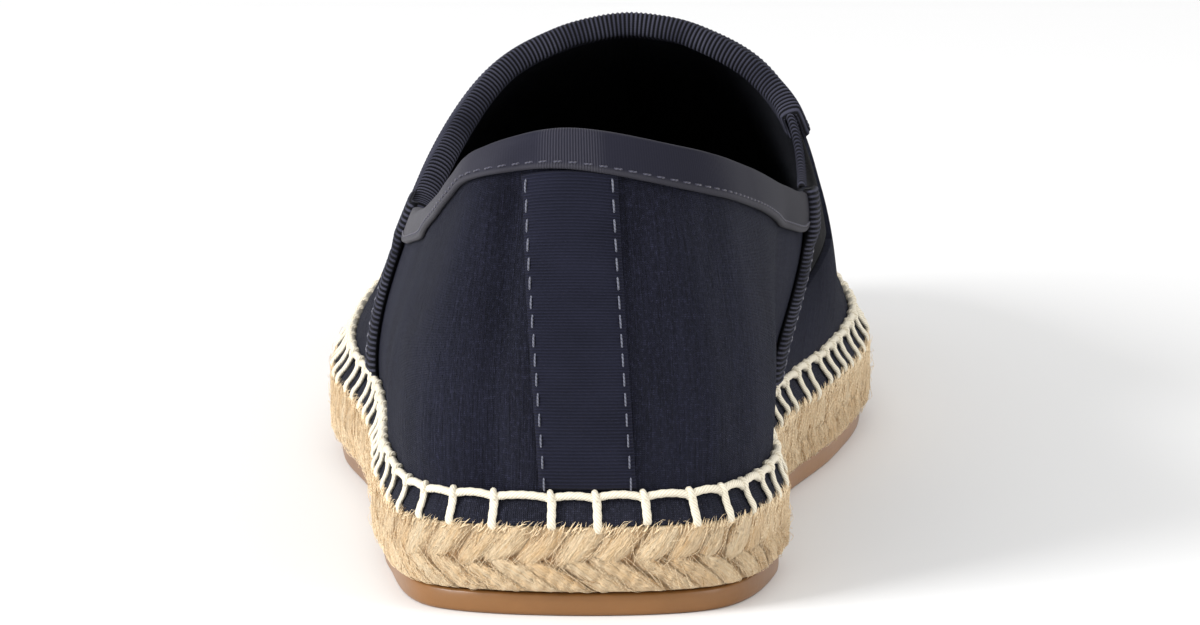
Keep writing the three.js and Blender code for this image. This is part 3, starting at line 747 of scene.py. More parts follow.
# %% The canvas shell
marks = [EDGE_IN, EDGE_IN + STEP_RUN, EDGE_OUT - STEP_RUN, EDGE_OUT, GORE_START, GORE_START + 0.1]
marks += [GORE_END - 0.1, GORE_END, EDGE_IN - 0.4, EDGE_IN + 0.7, EDGE_OUT + 0.4, EDGE_OUT - 0.7]
shell_s = np.unique(np.concatenate([np.linspace(0, ROUND, 561)[:-1], marks]))
points, cloth = shell_profile(shell_s)
n_cols, n_rows = points.shape[:2]
quads = grid_faces(n_cols, n_rows, wrap_cols=True, wrap_rows=True)
row_of = quads[:, 0] % n_rows
margin_rows = len(MARGIN_SHARES)
outer_rows = margin_rows + len(WALL_SHARES)
kind = np.where(row_of < margin_rows, 1, np.where(row_of < outer_rows + 1, 0, 2))
again = cloth[0] + np.array([ROUND, 0.0])
upper = piece(
    "canvas_upper", points.reshape(-1, 3), quads, cloth.reshape(-1, 2), (CANVAS, MARGIN, LINING), kind,
    wrap=(n_cols, n_rows, again),
)
mount(upper, "canvas", "upper")

# %% [markdown]
# ## Ribbons
# The collar, the throat and the vamp's rear edges are bound with ribbed ribbon folded over the cut edge.
# Each is a soft channel swept along the edge. The throat's ribs stand out at the edge, so they are in the
# mesh.

# %% Shape of a folded ribbon
# millimetres, and shares of the ribbon's height where the name says so
RIBBON_GAP = 0.3
RIBBON_END = 1.2
CUT_EDGE = 0.35
RIB_AT_EDGE = 0.3
INSIDE_FOLD = 0.8
OVER_TOP = 0.95
RIBBON_TOP = 8.0
BACK_RIBBED = 9.0
OUTER_SHARES = (1.0, 0.98, 0.9, 0.8, 0.6, 0.4, 0.2, 0.08)
INNER_SHARES = (0.08, 0.3, 0.55, 0.8, 0.98, 1.0)


def ribbon_places(start, stop, steps):
    """Places along the topline, so many steps a millimetre."""
    places = [start]
    while places[-1] < stop:
        places.append(float(along(places[-1], 1.0, 1.0 / steps)))
    return np.array(places)


def lower_roll(share):
    """The slight swell of the ribbon and the roll at its lower rim."""
    return 0.1 * math.sin(math.pi * share) + 0.22 * math.exp(-(((share - 0.93) / 0.07) ** 2))

# %% [markdown]
# A ribbon folded over an edge could be bent from a flat strip with a modifier. Here its section is worked
# out at every place instead: up the outside with a slight roll at its rim, a round turn over the top, and
# down the lining. Its ribs then follow the edge exactly, however it curves.

# %% Folded ribbon
def ribbon(
    name, places, band_at, lift, rib, depth, finish, slot, nodes=(), inside=0.9, hug=0.0, body=(WALL, 0.8),
):
    """A channel folded over the topline between two places.

    places is (start, end, steps a millimetre); band_at gives its height and inside the share of it that
    goes down the lining; hug presses the start on to the wall; body is the thickness of what it wraps and
    of the ribbon itself."""
    s = ribbon_places(*places)
    run = np.arange(len(s)) / places[2]
    swell = np.cos(2 * np.pi * run / rib)
    wave = depth * swell
    ends = np.clip(np.minimum(run, run[-1] - run) / RIBBON_END, 0.25, 1)
    low = lift + RIBBON_GAP - hug * np.clip(1 - run / 2.5, 0, 1) ** 2
    band = band_at(s)
    out = low + fold_lift(s, np.full(s.shape, 0.97))
    inn = -body[0] - RIBBON_GAP
    thick = body[1] * ends
    loops, cloth, ribs_seen, rims = [], [], [], []

    def add(w, height, over, v, ribbed=1.0, rim=0.0):
        loops.append(lifted(s, w, height, over))
        cloth.append(np.stack([run, np.full(s.shape, v)], -1))
        ribs_seen.append(ribbed * (0.5 + 0.5 * swell))
        rims.append(rim)

    for share in OUTER_SHARES:
        w = below(s, band * share)
        edge, ribs = (CUT_EDGE, RIB_AT_EDGE) if share == 1.0 else (1.0, 1.0)
        height = low + fold_lift(s, w) + thick * edge + lower_roll(share) + wave * ribs
        add(w, height, 0.0, RIBBON_TOP * (1 - share), rim=float(share > 0.85))
    for turn in np.linspace(15, 165, 7):
        a = math.radians(turn)
        half = (out - inn) / 2 + thick
        over = (OVER_TOP + wave * 0.8) * math.sin(a) * ends
        add(1.0, (out + inn) / 2 + (half + wave * 0.8) * math.cos(a), over, RIBBON_TOP + turn / 60)
    for share in INNER_SHARES:
        w = below(s, band * inside * share)
        edge, ribs = (CUT_EDGE, RIB_AT_EDGE) if share == 1.0 else (1.0, 1.0)
        height = inn + INSIDE_FOLD * fold_lift(s, w) - thick * edge - wave * ribs
        add(w, height, 0.0, RIBBON_TOP + 3 + 8 * share)
    # rows with no ribs get rib value 0, painted groove dark by the throat finish: painted shade under it
    for share in (0.99, 0.5, 0.0):
        w = below(s, band * inside * share)
        add(w, inn + INSIDE_FOLD * fold_lift(s, w), 0.25 if share == 0.0 else 0.0, 20, ribbed=0.0)
    for share in (0.0, 0.5, 0.99):
        w = below(s, band * share)
        add(w, low + fold_lift(s, w), 0.25 if share == 0.0 else 0.0, 21, ribbed=0.0)

    points = np.stack(loops, 1)
    cols, rows = points.shape[:2]
    faces = ends_closed(cols, rows, grid_faces(cols, rows, wrap_rows=True))
    back = np.abs(np.mod(s + ROUND / 2, ROUND) - ROUND / 2 - 1.0)
    values = [
        ("rib", np.stack(ribs_seen, 1)),
        ("place", np.repeat((run / run[-1])[:, None], rows, 1)),
        ("ribbed", np.repeat(np.clip((BACK_RIBBED - back) / 3.0, 0.12, 1)[:, None], rows, 1)),
        ("rim", np.repeat(np.array(rims)[None, :], cols, 0)),
    ]
    uv = np.stack(cloth, 1).reshape(-1, 2)
    obj = piece(name, points.reshape(-1, 3), faces, uv, (finish,), values=values)
    return mount(obj, slot, *nodes)

# %% [markdown]
# The collar ribbon is highest at the back and lower along the outer side. The throat ribbon is narrow and
# even. The gore's edge has a thin ribbon of its own. All three come from the same channel with other
# heights, which keeps their edges alike.

# %% Collar, throat and gore edge
COLLAR_BAND = 0.085 * HEEL_HEIGHT
THROAT_BAND = 0.06 * INSTEP_HEIGHT
GORE_EDGE_BAND = 0.9
THROAT_RIB = 0.87
COLLAR_FROM = float(along(EDGE_OUT, 1.0, 1.2))
COLLAR_TO = float(along(EDGE_IN, 1.0, -1.6)) + ROUND
# the dip's place, half width and share of the height, then share and run of the dips at both ends
DIP_AT = 78.0
DIP_HALF = 46.0
DIP = 0.45
END_DIP = 0.2
END_DIP_RUN = 30.0
LAST_DIP = 0.16
LAST_DIP_RUN = 12.0


def collar_band(s):
    """The collar ribbon's height: low along the outer side and a little lower at both ends."""
    run = s - COLLAR_FROM
    dip = DIP * np.exp(-(((run - DIP_AT) / DIP_HALF) ** 2)) + END_DIP * np.exp(-((run / END_DIP_RUN) ** 2))
    last = np.clip(1 - (COLLAR_TO - s) / LAST_DIP_RUN, 0, 1)
    return COLLAR_BAND * (1 - dip) * (1 - LAST_DIP * last * last)


def even_band(height):
    """A ribbon that is equally high all along."""
    return lambda s: np.full(np.shape(s), height)


collar = ribbon(
    "collar_ribbon", (COLLAR_FROM, COLLAR_TO, 1.5), collar_band, lift=0.0, rib=COLLAR_RIB, depth=0.0,
    finish=COLLAR, slot="collar_tape", nodes=("collar_binding",), inside=0.8,
)
throat_ends = float(along(GORE_END, 1.0, -1.2)), float(along(EDGE_OUT, 1.0, 0.2))
throat = ribbon(
    "throat_ribbon", (*throat_ends, 8.0), even_band(THROAT_BAND), lift=VAMP_STEP, rib=THROAT_RIB, depth=0.13,
    finish=THROAT, slot="throat_tape", nodes=("throat_binding",), inside=0.75, hug=0.75,
)
gore_edge = ribbon(
    "gore_edge_ribbon", (GORE_START + 0.3, GORE_END - 0.4, 8.0), even_band(GORE_EDGE_BAND), lift=-0.55,
    rib=THROAT_RIB, depth=0.08, finish=THROAT, slot="elastic", body=(0.9, 0.3),
)

# %% [markdown]
# The vamp's rear edges run from the topline down to the sole. Their ribbon covers the step, so its section
# is a low arch that reaches from the quarter over onto the vamp. A straight box would cut into the curved
# wall; the section is set on the wall row by row instead.

# %% Ribbon on the vamp's rear edges
EDGE_WIDTH = 0.062 * INSTEP_HEIGHT
EDGE_ROWS = 460
EDGE_RIB = 1.05
EDGE_RIB_DEPTH = 0.17
EDGE_RISE = 1.25
EDGE_RISE_SHARE = 0.04
LAP_FROM = 0.74
LAP_SHARE = 0.08
EDGE_UNDER = 1.1


def edge_section(shift):
    """The arch: reach over the edge, height over the wall, share of the ribs."""
    return [
        (-1.9, 0.35, 0.0), (-2.0, 0.9, 0.5), (-1.7, 1.45, 0.9), (-1.0, 1.85, 1.0), (0.4, 1.98, 1.0),
        (2.0, 2.0, 1.0), (3.6, 1.97, 1.0), (EDGE_WIDTH - 0.35, 1.85, 0.9), (EDGE_WIDTH, 1.45, 0.4),
        (EDGE_WIDTH, 1.12, 0.0), (2.4, EDGE_UNDER, 0.0), (shift - 0.6, EDGE_UNDER, 0.0),
        (shift - 0.65, 0.35, 0.0),
    ]


def edge_ribbon(name, edge, side, node, shift, lap):
    """A strip over the step, ribbed across; shift moves it on to the quarter, lap lifts its upper part."""
    w = np.linspace(0.03, 1.0, EDGE_ROWS)
    centre = np.full(EDGE_ROWS, edge)
    over = EDGE_RISE * np.clip((w - 1.0 + EDGE_RISE_SHARE) / EDGE_RISE_SHARE, 0, 1)
    lap_on = lap * np.clip((w - LAP_FROM) / LAP_SHARE, 0, 1)
    steps = np.linalg.norm(np.diff(lifted(centre, w, 0.0, over), axis=0), axis=1)
    run = np.concatenate([[0], np.cumsum(steps)])
    swell = np.cos(2 * np.pi * run / EDGE_RIB)
    ends = np.clip(np.minimum(run, run[-1] - run) / 0.8, 0.3, 1)
    loops, cloth, ribs = [], [], []
    for reach, height, wavy in edge_section(shift):
        s = along(centre, w, side * (reach - shift))
        tall = np.where(height > 1.15, EDGE_UNDER + (height - EDGE_UNDER) * ends, height)
        lift = fold_lift(s, w) + tall + lap_on * (height > 0.5) + EDGE_RIB_DEPTH * wavy * swell
        loops.append(lifted(s, w, lift, over))
        cloth.append(np.stack([run, np.full(EDGE_ROWS, reach)], -1))
        # where the section has no ribs the rib value is 0: painted shade, groove dark, at the arch's feet
        ribs.append(min(1.0, 2 * wavy) * (0.5 + 0.5 * swell))
    points = np.stack(loops, 1)
    cols, rows = points.shape[:2]
    faces = ends_closed(cols, rows, grid_faces(cols, rows, wrap_rows=True))
    if side > 0:
        faces = [face[::-1] for face in faces]
    uv = np.stack(cloth, 1).reshape(-1, 2)
    obj = piece(name, points.reshape(-1, 3), faces, uv, (THROAT,), values=[("rib", np.stack(ribs, 1))])
    return mount(obj, "throat_tape", node)


INNER_SHIFT = 3.2
OUTER_SHIFT = -0.2
edge_inner = edge_ribbon("edge_ribbon_inner", EDGE_IN + STEP_RUN, 1, "edge_binding_inner", INNER_SHIFT, 0.9)
edge_outer = edge_ribbon("edge_ribbon_outer", EDGE_OUT - STEP_RUN, -1, "edge_binding_outer", OUTER_SHIFT, 0.5)

# %% [markdown]
# ## Gore and heel strip
# The gore is black elastic, a thin panel with a fine upright line. The heel strip is ribbed ribbon sewn
# flat up the back seam. Both are thin boxes bent to the last.

# %% Thin panels
RIM_SHARE = 0.06
RIM_HEIGHT = 0.45


def panel(name, s_of, w_of, cols, rows, low, high, finish, slot, node, size, bulge=0.0):
    """A bent panel with rounded rims between two lifts; size is its width and height in millimetres."""
    u = np.linspace(0, 1, cols)
    t = np.linspace(0, 1, rows)
    uu, tt = np.meshgrid(u, t, indexing="ij")
    w = w_of(uu, tt)
    s = s_of(uu, tt, w)
    rim = np.clip(np.minimum.reduce([uu, 1 - uu, tt, 1 - tt]) / RIM_SHARE, 0, 1) ** 0.5
    base = fold_lift(s, w) + bulge * np.sin(np.pi * uu) * np.sin(np.pi * tt)
    top = lifted(s, w, base + low + (high - low) * (RIM_HEIGHT + (1 - RIM_HEIGHT) * rim))
    under = lifted(s, w, base + low)
    points = np.concatenate([top.reshape(-1, 3), under.reshape(-1, 3)])
    quads = grid_faces(cols, rows)
    faces = [*quads.tolist(), *(quads[:, ::-1] + cols * rows).tolist()]
    k = np.arange(cols * rows).reshape(cols, rows)
    ring = np.concatenate([k[:-1, 0], k[-1, :-1], k[:0:-1, -1], k[0, :0:-1]])
    n = cols * rows
    for a, b in zip(ring, np.roll(ring, -1)):
        faces.append([int(b), int(a), int(a) + n, int(b) + n])
    uv = np.stack([uu * size[0], tt * size[1]], -1).reshape(-1, 2)
    obj = piece(name, points, faces, np.concatenate([uv, uv]), (finish,))
    return mount(obj, slot, node)

# %% [markdown]
# The gore lets the throat stretch. It sits in the notch, clear of both edges, and bulges a little, as slack
# elastic does. A flat panel would look like card.

# %% The gore
GORE_GAP = 0.012
GORE_SIDE_GAP = 0.36


def gore_w(u, t):
    return GORE_FLOOR + GORE_GAP + t * (1 - GORE_FLOOR - GORE_GAP)


def gore_s(u, t, w):
    start = along(np.full(w.shape, GORE_START), w, GORE_SIDE_GAP)
    end = along(np.full(w.shape, GORE_END), w, -GORE_SIDE_GAP)
    return start + (end - start) * u


gore = panel(
    "elastic_gore", gore_s, gore_w, cols=40, rows=40, low=-WALL + 0.2, high=0.1, finish=ELASTIC,
    slot="elastic", node="gore", size=(17, 26), bulge=0.8,
)

# %% [markdown]
# The heel strip hides the back seam. It is sewn on flat, so it is a panel that follows the last a third of
# a millimetre above the canvas, from just over the margin up to the collar ribbon. It leans a little, as on
# the shoe.

# %% The heel strip
STRIP_HALF = 0.22 * HEEL_WIDTH / 2
STRIP_LEAN = 0.04 * HEEL_WIDTH
STRIP_FOOT = 0.02
STRIP_TOP = float(below(0.0, float(collar_band(ROUND)) + 0.3))


def strip_w(u, t):
    return STRIP_FOOT + (STRIP_TOP - STRIP_FOOT) * t


def strip_s(u, t, w):
    return along(np.zeros(w.shape), w, (2 * u - 1) * STRIP_HALF + STRIP_LEAN * (1 - t))


heel_strip = panel(
    "heel_strip", strip_s, strip_w, cols=24, rows=120, low=0.3, high=1.0, finish=HEEL_TAPE, slot="heel_tape",
    node="heel_strip", size=(16.5, 57),
)

# %% [markdown]
# ## Jute midsole
# The midsole is a jute plait set on edge and pressed. Outside it shows two rows of strands that lean away
# from a groove, like a row of arrow heads. A displaced wall carries the strands, and its cloth map runs
# along them, so the fibres follow. A vertex value marks the grooves, which are painted darker, a painted
# shade.

# %% Strands of the plait
STRANDS = 104
PITCH = ROUND / STRANDS
GROOVE_Z = RUBBER_THICK + 0.365 * JUTE_THICK
HEEL_RUN = 62.0
STRAND_BEND = 0.35
STRAND_END = 2.6
SHOULDER = 1.5
# slope, sign over the groove and start of the strands' ends, for the row above and the row below
ROW_SLOPES = (0.66, 1.35)
ROW_SIGNS = (1.0, -1.0)
ROW_TIPS = (-1.15, -0.9)
strand_odds = rng.standard_normal((2, STRANDS, 4))


def heel_share(s):
    """1 round the heel and 0 along the sides."""
    return np.exp(-((np.minimum(s, ROUND - s) / HEEL_RUN) ** 4))


def strand_field(s, z, row):
    """Height over the gaps, fibre map, number and offset of the strand at each point.

    row 0 leans one way above the groove, row 1 the other way below it."""
    slope = ROW_SLOPES[row] * (0.3 + 0.7 * heel_share(s))
    away = (z - GROOVE_Z) * ROW_SIGNS[row]
    u = (s - slope * away - STRAND_BEND * np.sin(away / STRAND_END)) / PITCH
    best = np.full(s.shape, -9.0)
    number = np.zeros(s.shape, int)
    offset = np.zeros(s.shape)
    for near in (0, 1):
        k = np.floor(u).astype(int) + near
        odds = strand_odds[row, np.mod(k, STRANDS)]
        d = (u - k - 0.09 * odds[..., 0]) * PITCH
        tip = ROW_TIPS[row] + 0.45 * odds[..., 1]
        half = PITCH * (0.53 + 0.03 * odds[..., 2]) * np.sqrt(np.clip((away - tip) / STRAND_END, 0.0, 1.0))
        inside = np.clip(1 - (d / np.maximum(half, 1e-3)) ** 2, 0, 1)
        shoulder = np.clip((away - tip) / SHOULDER, 0, 1)
        height = np.where(half > 0.05, inside**0.6 * (0.35 + 0.65 * shoulder), 0)
        height = np.where(np.abs(d) < half, height + 0.09 * odds[..., 3] * shoulder, -0.05)
        better = height > best
        best = np.where(better, height, best)
        number = np.where(better, np.mod(k, STRANDS), number)
        offset = np.where(better, d, offset)
    length = np.hypot(1.0, slope)
    fibre = np.stack([offset / length + 7.3 * number, away * length + 3.1 * number], -1)
    return best, fibre, number, offset

# %% [markdown]
# Where the two rows meet, the strands of the upper row lie over those of the lower one, as in the pressed
# plait. So each point takes the row that stands higher there. Fine ridges and a slow twist stand for the
# fibres and the lay of each strand; they are small, but they break the light as real bast does.

# %% The plaited wall
def plait(s, z):
    """Push of the surface, painted shade of the gaps, tone and fibre map on the plaited wall."""
    high = strand_field(s, z, 0)
    low = strand_field(s, z, 1)
    front = high[0] + 0.08 >= low[0]
    height = np.where(front, high[0], low[0])
    fibre = np.where(front[..., None], high[1], low[1])
    number = np.where(front, high[2], low[2] + 50)
    offset = np.where(front, high[3], low[3])
    heel = heel_share(s)
    size = 0.72 + 0.28 * heel
    twist = np.where(front, 0.05, 0.16) * np.cos(2 * np.pi * (fibre[..., 1] / 2.3 + offset / 2.6))
    ridges = 0.07 * np.cos(2 * np.pi * offset / 0.95 + 2.0 * np.sin(fibre[..., 1] / 2.2))
    body = np.clip(height, 0, 1)
    push = size * (-0.75 + 1.35 * height + (twist + ridges) * body)
    # painted shade: darker where the strands are low, most along the seam line at the heel
    seam_line = np.exp(-(((z - GROOVE_Z) / 1.7) ** 2))
    dark = np.clip(0.85 - 1.6 * height, 0, 0.85) * (0.3 + 0.25 * heel + 0.45 * seam_line * heel)
    tone = np.clip(0.16 + 0.22 * np.sin(number * 2.39), 0, 0.5)
    return push, dark, tone, fibre

# %% [markdown]
# In section the midsole is a soft block: a rounded foot, a wall that hardly bulges and a top that slopes in
# under the canvas. The strands have full height on the wall and fade out above and below it.

# %% Profile of the midsole
# inset from the outline, height over the rubber, share of the strands
LOWER_ROWS = np.array([(3.4, 0.1, 0.0), (1.9, 0.15, 0.15), (1.05, 0.4, 0.5), (0.75, 0.8, 0.8)])
UPPER_ROWS = np.array([
    (1.15, 12.45, 0.75), (1.9, 12.75, 0.4), (3.4, 14.2, 0.0), (5.0, 15.6, 0.0), (7.8, 16.7, 0.0),
])
JUTE_COLS = 1872
wall_z = np.linspace(1.25, 12.1, 36)
wall_in = 0.35 + 0.45 * ((wall_z - 6.4) / 6.0) ** 2
WALL_ROWS = np.stack([wall_in, wall_z, np.full(wall_z.shape, 1.0)], 1)
profile = np.concatenate([LOWER_ROWS, WALL_ROWS, UPPER_ROWS])
print(JUTE_COLS, "columns of", len(profile), "points, pitch of the strands", round(PITCH, 2), "mm")

# %% [markdown]
# The midsole is open above and below after the wall is made. One large face across it would be bent and
# shade badly, so rungs run from side to side like a ladder, and they follow the toe's rise.

# %% Rungs
def ladder_caps(cols, rows, faces):
    """Closes the underside and the top with rungs from side to side."""
    half = cols // 2
    for i in range(half):
        a, b = i, i + 1
        c, d = (cols - i - 1) % cols, (cols - i) % cols
        for row, flip in ((0, True), (rows - 1, False)):
            loop = list(dict.fromkeys(corner * rows + row for corner in (a, b, c, d)))
            if len(loop) > 2:
                faces.append(loop[::-1] if flip else loop)

# %% [markdown]
# The profile is swept round the sole and the strands push it out. Moving real mesh points costs more than a
# bump, but the strands show at the outline too, where a bump would stay flat.

# %% The midsole's mesh
jute_s = np.linspace(0, ROUND, JUTE_COLS + 1)
jute_round, jute_z = np.meshgrid(jute_s, profile[:, 1] + RUBBER_THICK, indexing="ij")
inset = np.broadcast_to(profile[:, 0], jute_round.shape)
share = np.broadcast_to(profile[:, 2], jute_round.shape)
push, dark, tone, fibre = plait(np.minimum(jute_round, ROUND - 1e-6), jute_z)
points = on_ring(jute_round, inset - push * share, jute_z)[:-1]
n_rows = len(profile)
faces = grid_faces(JUTE_COLS, n_rows, wrap_cols=True).tolist()
ladder_caps(JUTE_COLS, n_rows, faces)
# the painted shade fades where the strands fade out above and below the wall
hidden = 1 - np.clip(share + 0.15, 0, 1)
values = [("groove_shade", (dark * (1 - 0.8 * hidden))[:-1]), ("tone", tone[:-1])]
jute = piece(
    "jute_plait", points.reshape(-1, 3), faces, fibre[:-1].reshape(-1, 2), (JUTE,),
    wrap=(JUTE_COLS, n_rows - 1, fibre[-1]), values=values,
)
mount(jute, "jute", "jute_midsole")

# %% [markdown]
# ## Outsole and insole
# The outsole is a thin slab of gum rubber with a softened lower edge. The insole is a covered board inside
# the shoe. Both are stacks of smooth rings closed by rungs.

# %% Slabs
SLAB_COLS = 600


def slab(name, rings, finish, slot, node):
    """A slab from (inset, height) rings, the first and last closed; an inset is a length or a rule."""
    s = np.linspace(0, ROUND, SLAB_COLS + 1)[:-1]
    loops = [on_ring(s, inset(s) if callable(inset) else np.full(s.shape, inset), z) for inset, z in rings]
    points = np.stack(loops, 1).reshape(-1, 3)
    faces = grid_faces(SLAB_COLS, len(rings), wrap_cols=True).tolist()
    ladder_caps(SLAB_COLS, len(rings), faces)
    return mount(piece(name, points, faces, points[:, :2], (finish,)), slot, node)

# %% [markdown]
# The outsole's side stands two millimetres inside the sole's outline. It is upright with a soft lower
# edge, as on cut and ground rubber, so nine rings are enough. The rings rise with the toe like the last.

# %% Outsole
RUBBER_IN = 0.007 * LENGTH
# inset from the outsole's own side, height over the floor
RUBBER_RINGS = [
    (3.0, 0.0), (0.9, 0.0), (0.4, 0.12), (0.1, 0.45), (0.0, 0.95), (-0.05, 2.4), (0.0, 3.7), (0.25, 4.15),
    (3.0, 4.25),
]
rings = [(RUBBER_IN + inset, z) for inset, z in RUBBER_RINGS]
outsole = slab("rubber_outsole", rings, RUBBER, "rubber_sole", "outsole")

# %% [markdown]
# The insole is a board covered with cloth, seen only as a dark floor in the opening. It keeps clear of the
# wall all round, and more where the wall leans inwards.

# %% Insole
INSOLE_LIFT = 0.3
# inset from the insole's own edge, height over its underside
INSOLE_RINGS = [(3.0, 0.0), (0.5, 0.0), (0.0, 0.8), (0.0, 1.6), (0.5, 2.3), (1.6, 2.6), (6.0, 2.6)]


def insole_in(more):
    """Inset of the insole's edge, giving way where the wall leans in."""
    def at(s):
        v = section_at(s)
        lean = np.maximum(0, -v[:, 6]) * INSOLE_THICK / v[:, 5]
        return v[:, 10] + WALL + 0.5 + 1.5 * lean + more
    return at


rings = [(insole_in(inset), JUTE_TOP + INSOLE_LIFT + z) for inset, z in INSOLE_RINGS]
insole = slab("insole_board", rings, LINING, "insole_cloth", "insole")

# %% [markdown]
# ## Blanket stitch
# A cord runs in the crease between the upper and its margin. At each stitch it loops under itself and a leg
# goes down over the margin into the jute. Tubes with a twisted two ply section show the lay of the cord.

# %% Cord tubes
PLY = 1.9
LOBES = 0.09


def tube(paths, radius, sides=10, step=0.45, flat=1.0, guides=None):
    """Points, faces and cloth map of closed tubes along point lists, in millimetres.

    flat squashes the section; guides gives each tube the direction that stays wide."""
    all_points, all_faces, all_uv = [], [], []
    base = 0
    for number, path in enumerate(paths):
        path = np.asarray(path, float)
        gaps = np.linalg.norm(np.diff(path, axis=0), axis=1)
        run = np.concatenate([[0], np.cumsum(gaps)])
        count = max(4, int(run[-1] / step) + 1)
        t = np.linspace(0, run[-1], count)
        centre = np.stack([np.interp(t, run, path[:, k]) for k in range(3)], -1)
        tangent = unit(np.gradient(centre, axis=0))
        side = np.zeros_like(centre)
        upright = abs(tangent[0][2]) >= 0.9
        guess = np.array([1.0, 0.0, 0.0] if upright else [0.0, 0.0, 1.0])
        if guides is not None:
            guess = guides[number]
        for i in range(count):
            side[i] = unit(guess - tangent[i] * np.dot(guess, tangent[i]))
            guess = side[i]
        other = np.cross(tangent, side) * flat
        angle = np.linspace(0, 2 * np.pi, sides, endpoint=False)
        turn = np.pi * t[:, None] / PLY
        thick = radius * (1 - LOBES + 1.6 * LOBES * np.abs(np.cos(angle[None, :] - turn)))
        taper = np.clip(np.minimum(t, t[-1] - t) / (0.7 * radius) + 0.25, 0, 1)[:, None]
        ring = side[:, None, :] * np.cos(angle)[:, None] + other[:, None, :] * np.sin(angle)[:, None]
        points = centre[:, None, :] + ring * (thick * taper)[..., None]
        quads = grid_faces(count, sides, wrap_rows=True)
        all_points.append(points.reshape(-1, 3))
        all_faces += (quads[:, ::-1] + base).tolist()
        all_faces.append((np.arange(sides) + base).tolist())
        all_faces.append((np.arange(sides) + base + (count - 1) * sides)[::-1].tolist())
        uv = np.stack(np.broadcast_arrays(t[:, None], angle[None, :] * radius), -1)
        all_uv.append(uv.reshape(-1, 2))
        base += count * sides
    return np.concatenate(all_points), all_faces, np.concatenate(all_uv)


def cord_piece(name, paths, radius, finish, slot, **more):
    """Tubes along paths as one piece."""
    points, faces, uv = tube(paths, radius, **more)
    return mount(piece(name, points, faces, uv, (finish,)), slot)


def crease_point(s, out, up):
    """A point by the crease, out along the plan and up."""
    s = np.asarray(s, float)
    lip = section_at(s)[..., 10]
    return on_ring(s, lip - out, CREASE_Z + up)


def round_direction(s):
    """Direction round the sole at s."""
    n = outward(np.array([s]))[0]
    return np.array([-n[1], n[0], 0.0])

# %% [markdown]
# Each stitch is three cords: the run to the next stitch, which bulges a little, the leg, which goes down
# over the margin and sinks into the jute, and a small loop where the two meet. At the heel's corners the
# legs fan out, as they do where the cloth is gathered. One long cord would be closer to the real thread,
# but the sinking ends hide that.

# %% The blanket stitch
# millimetres; legs within the span of the back seam fan out
RUN_RADIUS = 0.74
LEG_RADIUS = 0.80
KNOT_RADIUS = 0.6
LEG_SPAN = 50.0
FAN = 45.0
# shares of a leg's length at which its path is given
LEG_MARKS = [0, 0.12, 0.5, 0.74, 0.9, 1]


def leg_tilt(leg):
    """How far a leg's foot moves round the sole: fanned out at the heel's corners, by chance elsewhere."""
    first = leg < LEG_SPAN
    last = leg > ROUND - LEG_SPAN
    chance = rng.standard_normal(1 + first + 2 * last)[-1]
    if first:
        return 1.5 * math.sin(leg / FAN) + 0.35 * chance
    if last:
        return 1.4 * math.sin((leg - ROUND) / FAN) + 0.35 * chance
    return 0.5 + 0.45 * chance


runs, drops, knots, guides = [], [], [], []
for k, leg in enumerate(LEGS):
    after = LEGS[(k + 1) % len(LEGS)] + (ROUND if k == len(LEGS) - 1 else 0)
    high = 0.85 + 0.18 * rng.standard_normal()
    t = np.linspace(0, 1, 16)
    s = leg - 0.6 + (after - leg + 1.0) * t
    arch = np.sin(np.pi * np.clip(t * 1.03, 0, 1)) ** 0.75
    dip = np.clip((t - 0.86) / 0.14, 0, 1)
    runs.append(crease_point(s, 0.95 + 0.1 * arch + 0.35 * dip, -0.3 + high * arch - 0.35 * dip))
    tilt = leg_tilt(leg)
    t = np.linspace(0, 1, 14)
    lip = float(section_at(np.array([leg]))[0, 10])
    long = 1 + 0.1 * rng.standard_normal()
    inset = np.interp(t, LEG_MARKS, [lip - 1.0, lip - 1.5, lip * 0.5 - 0.3, 0.2, 0.55, 2.3])
    fall = np.interp(t, LEG_MARKS, [0.35, 0.0, -2.2 * long, -4.4 * long, -5.8 * long, -6.6 * long])
    drops.append(on_ring(leg + tilt * t**1.3, inset, fall + CREASE_Z))
    guides.append(round_direction(leg))
    turn = np.linspace(-0.5, 3.5, 10)
    out = 1.0 + 0.72 * np.cos(turn - 0.6)
    knots.append(crease_point(leg - 0.15 * turn, out, 0.05 + 0.9 * np.sin(turn - 0.6)))
running = cord_piece("stitch_run", runs, RUN_RADIUS, ECRU, "jute")
leg_cord = cord_piece("stitch_legs", drops, LEG_RADIUS, ECRU, "jute", flat=0.62, guides=guides)
knot_cord = cord_piece("stitch_knots", knots, KNOT_RADIUS, ECRU, "jute", step=0.35)

# %% [markdown]
# ## Small seams
# Rows of short stitches hold the heel strip, the collar ribbon and the vamp's edge. Each stitch is a small
# rice grain of thread lying on the cloth, sunk at both ends.

# %% Seam rows
# shares of a stitch's length, and how far the thread rises from the cloth there
GRAIN = np.array([-0.5, -0.3, 0.0, 0.3, 0.5])
GRAIN_HIGH = np.array([-0.25, 0.12, 0.2, 0.12, -0.25])


def seam(name, places, length, radius, finish, slot):
    """Stitches at (s, w, lift, s direction, w direction) places."""
    paths = []
    for s, w, lift, ds, dw in places:
        here = np.array([s]), np.array([w])
        k = length / np.linalg.norm(ds * across(*here)[0] + dw * up_slope(*here)[0])
        at = s + ds * k * GRAIN, w + dw * k * GRAIN
        paths.append(lifted(*at, lift + GRAIN_HIGH + fold_lift(*at)))
    return cord_piece(name, paths, radius, finish, slot, sides=6, step=0.4)

# %% [markdown]
# A row of grey stitches runs down either side of the strip, just inside its edge.

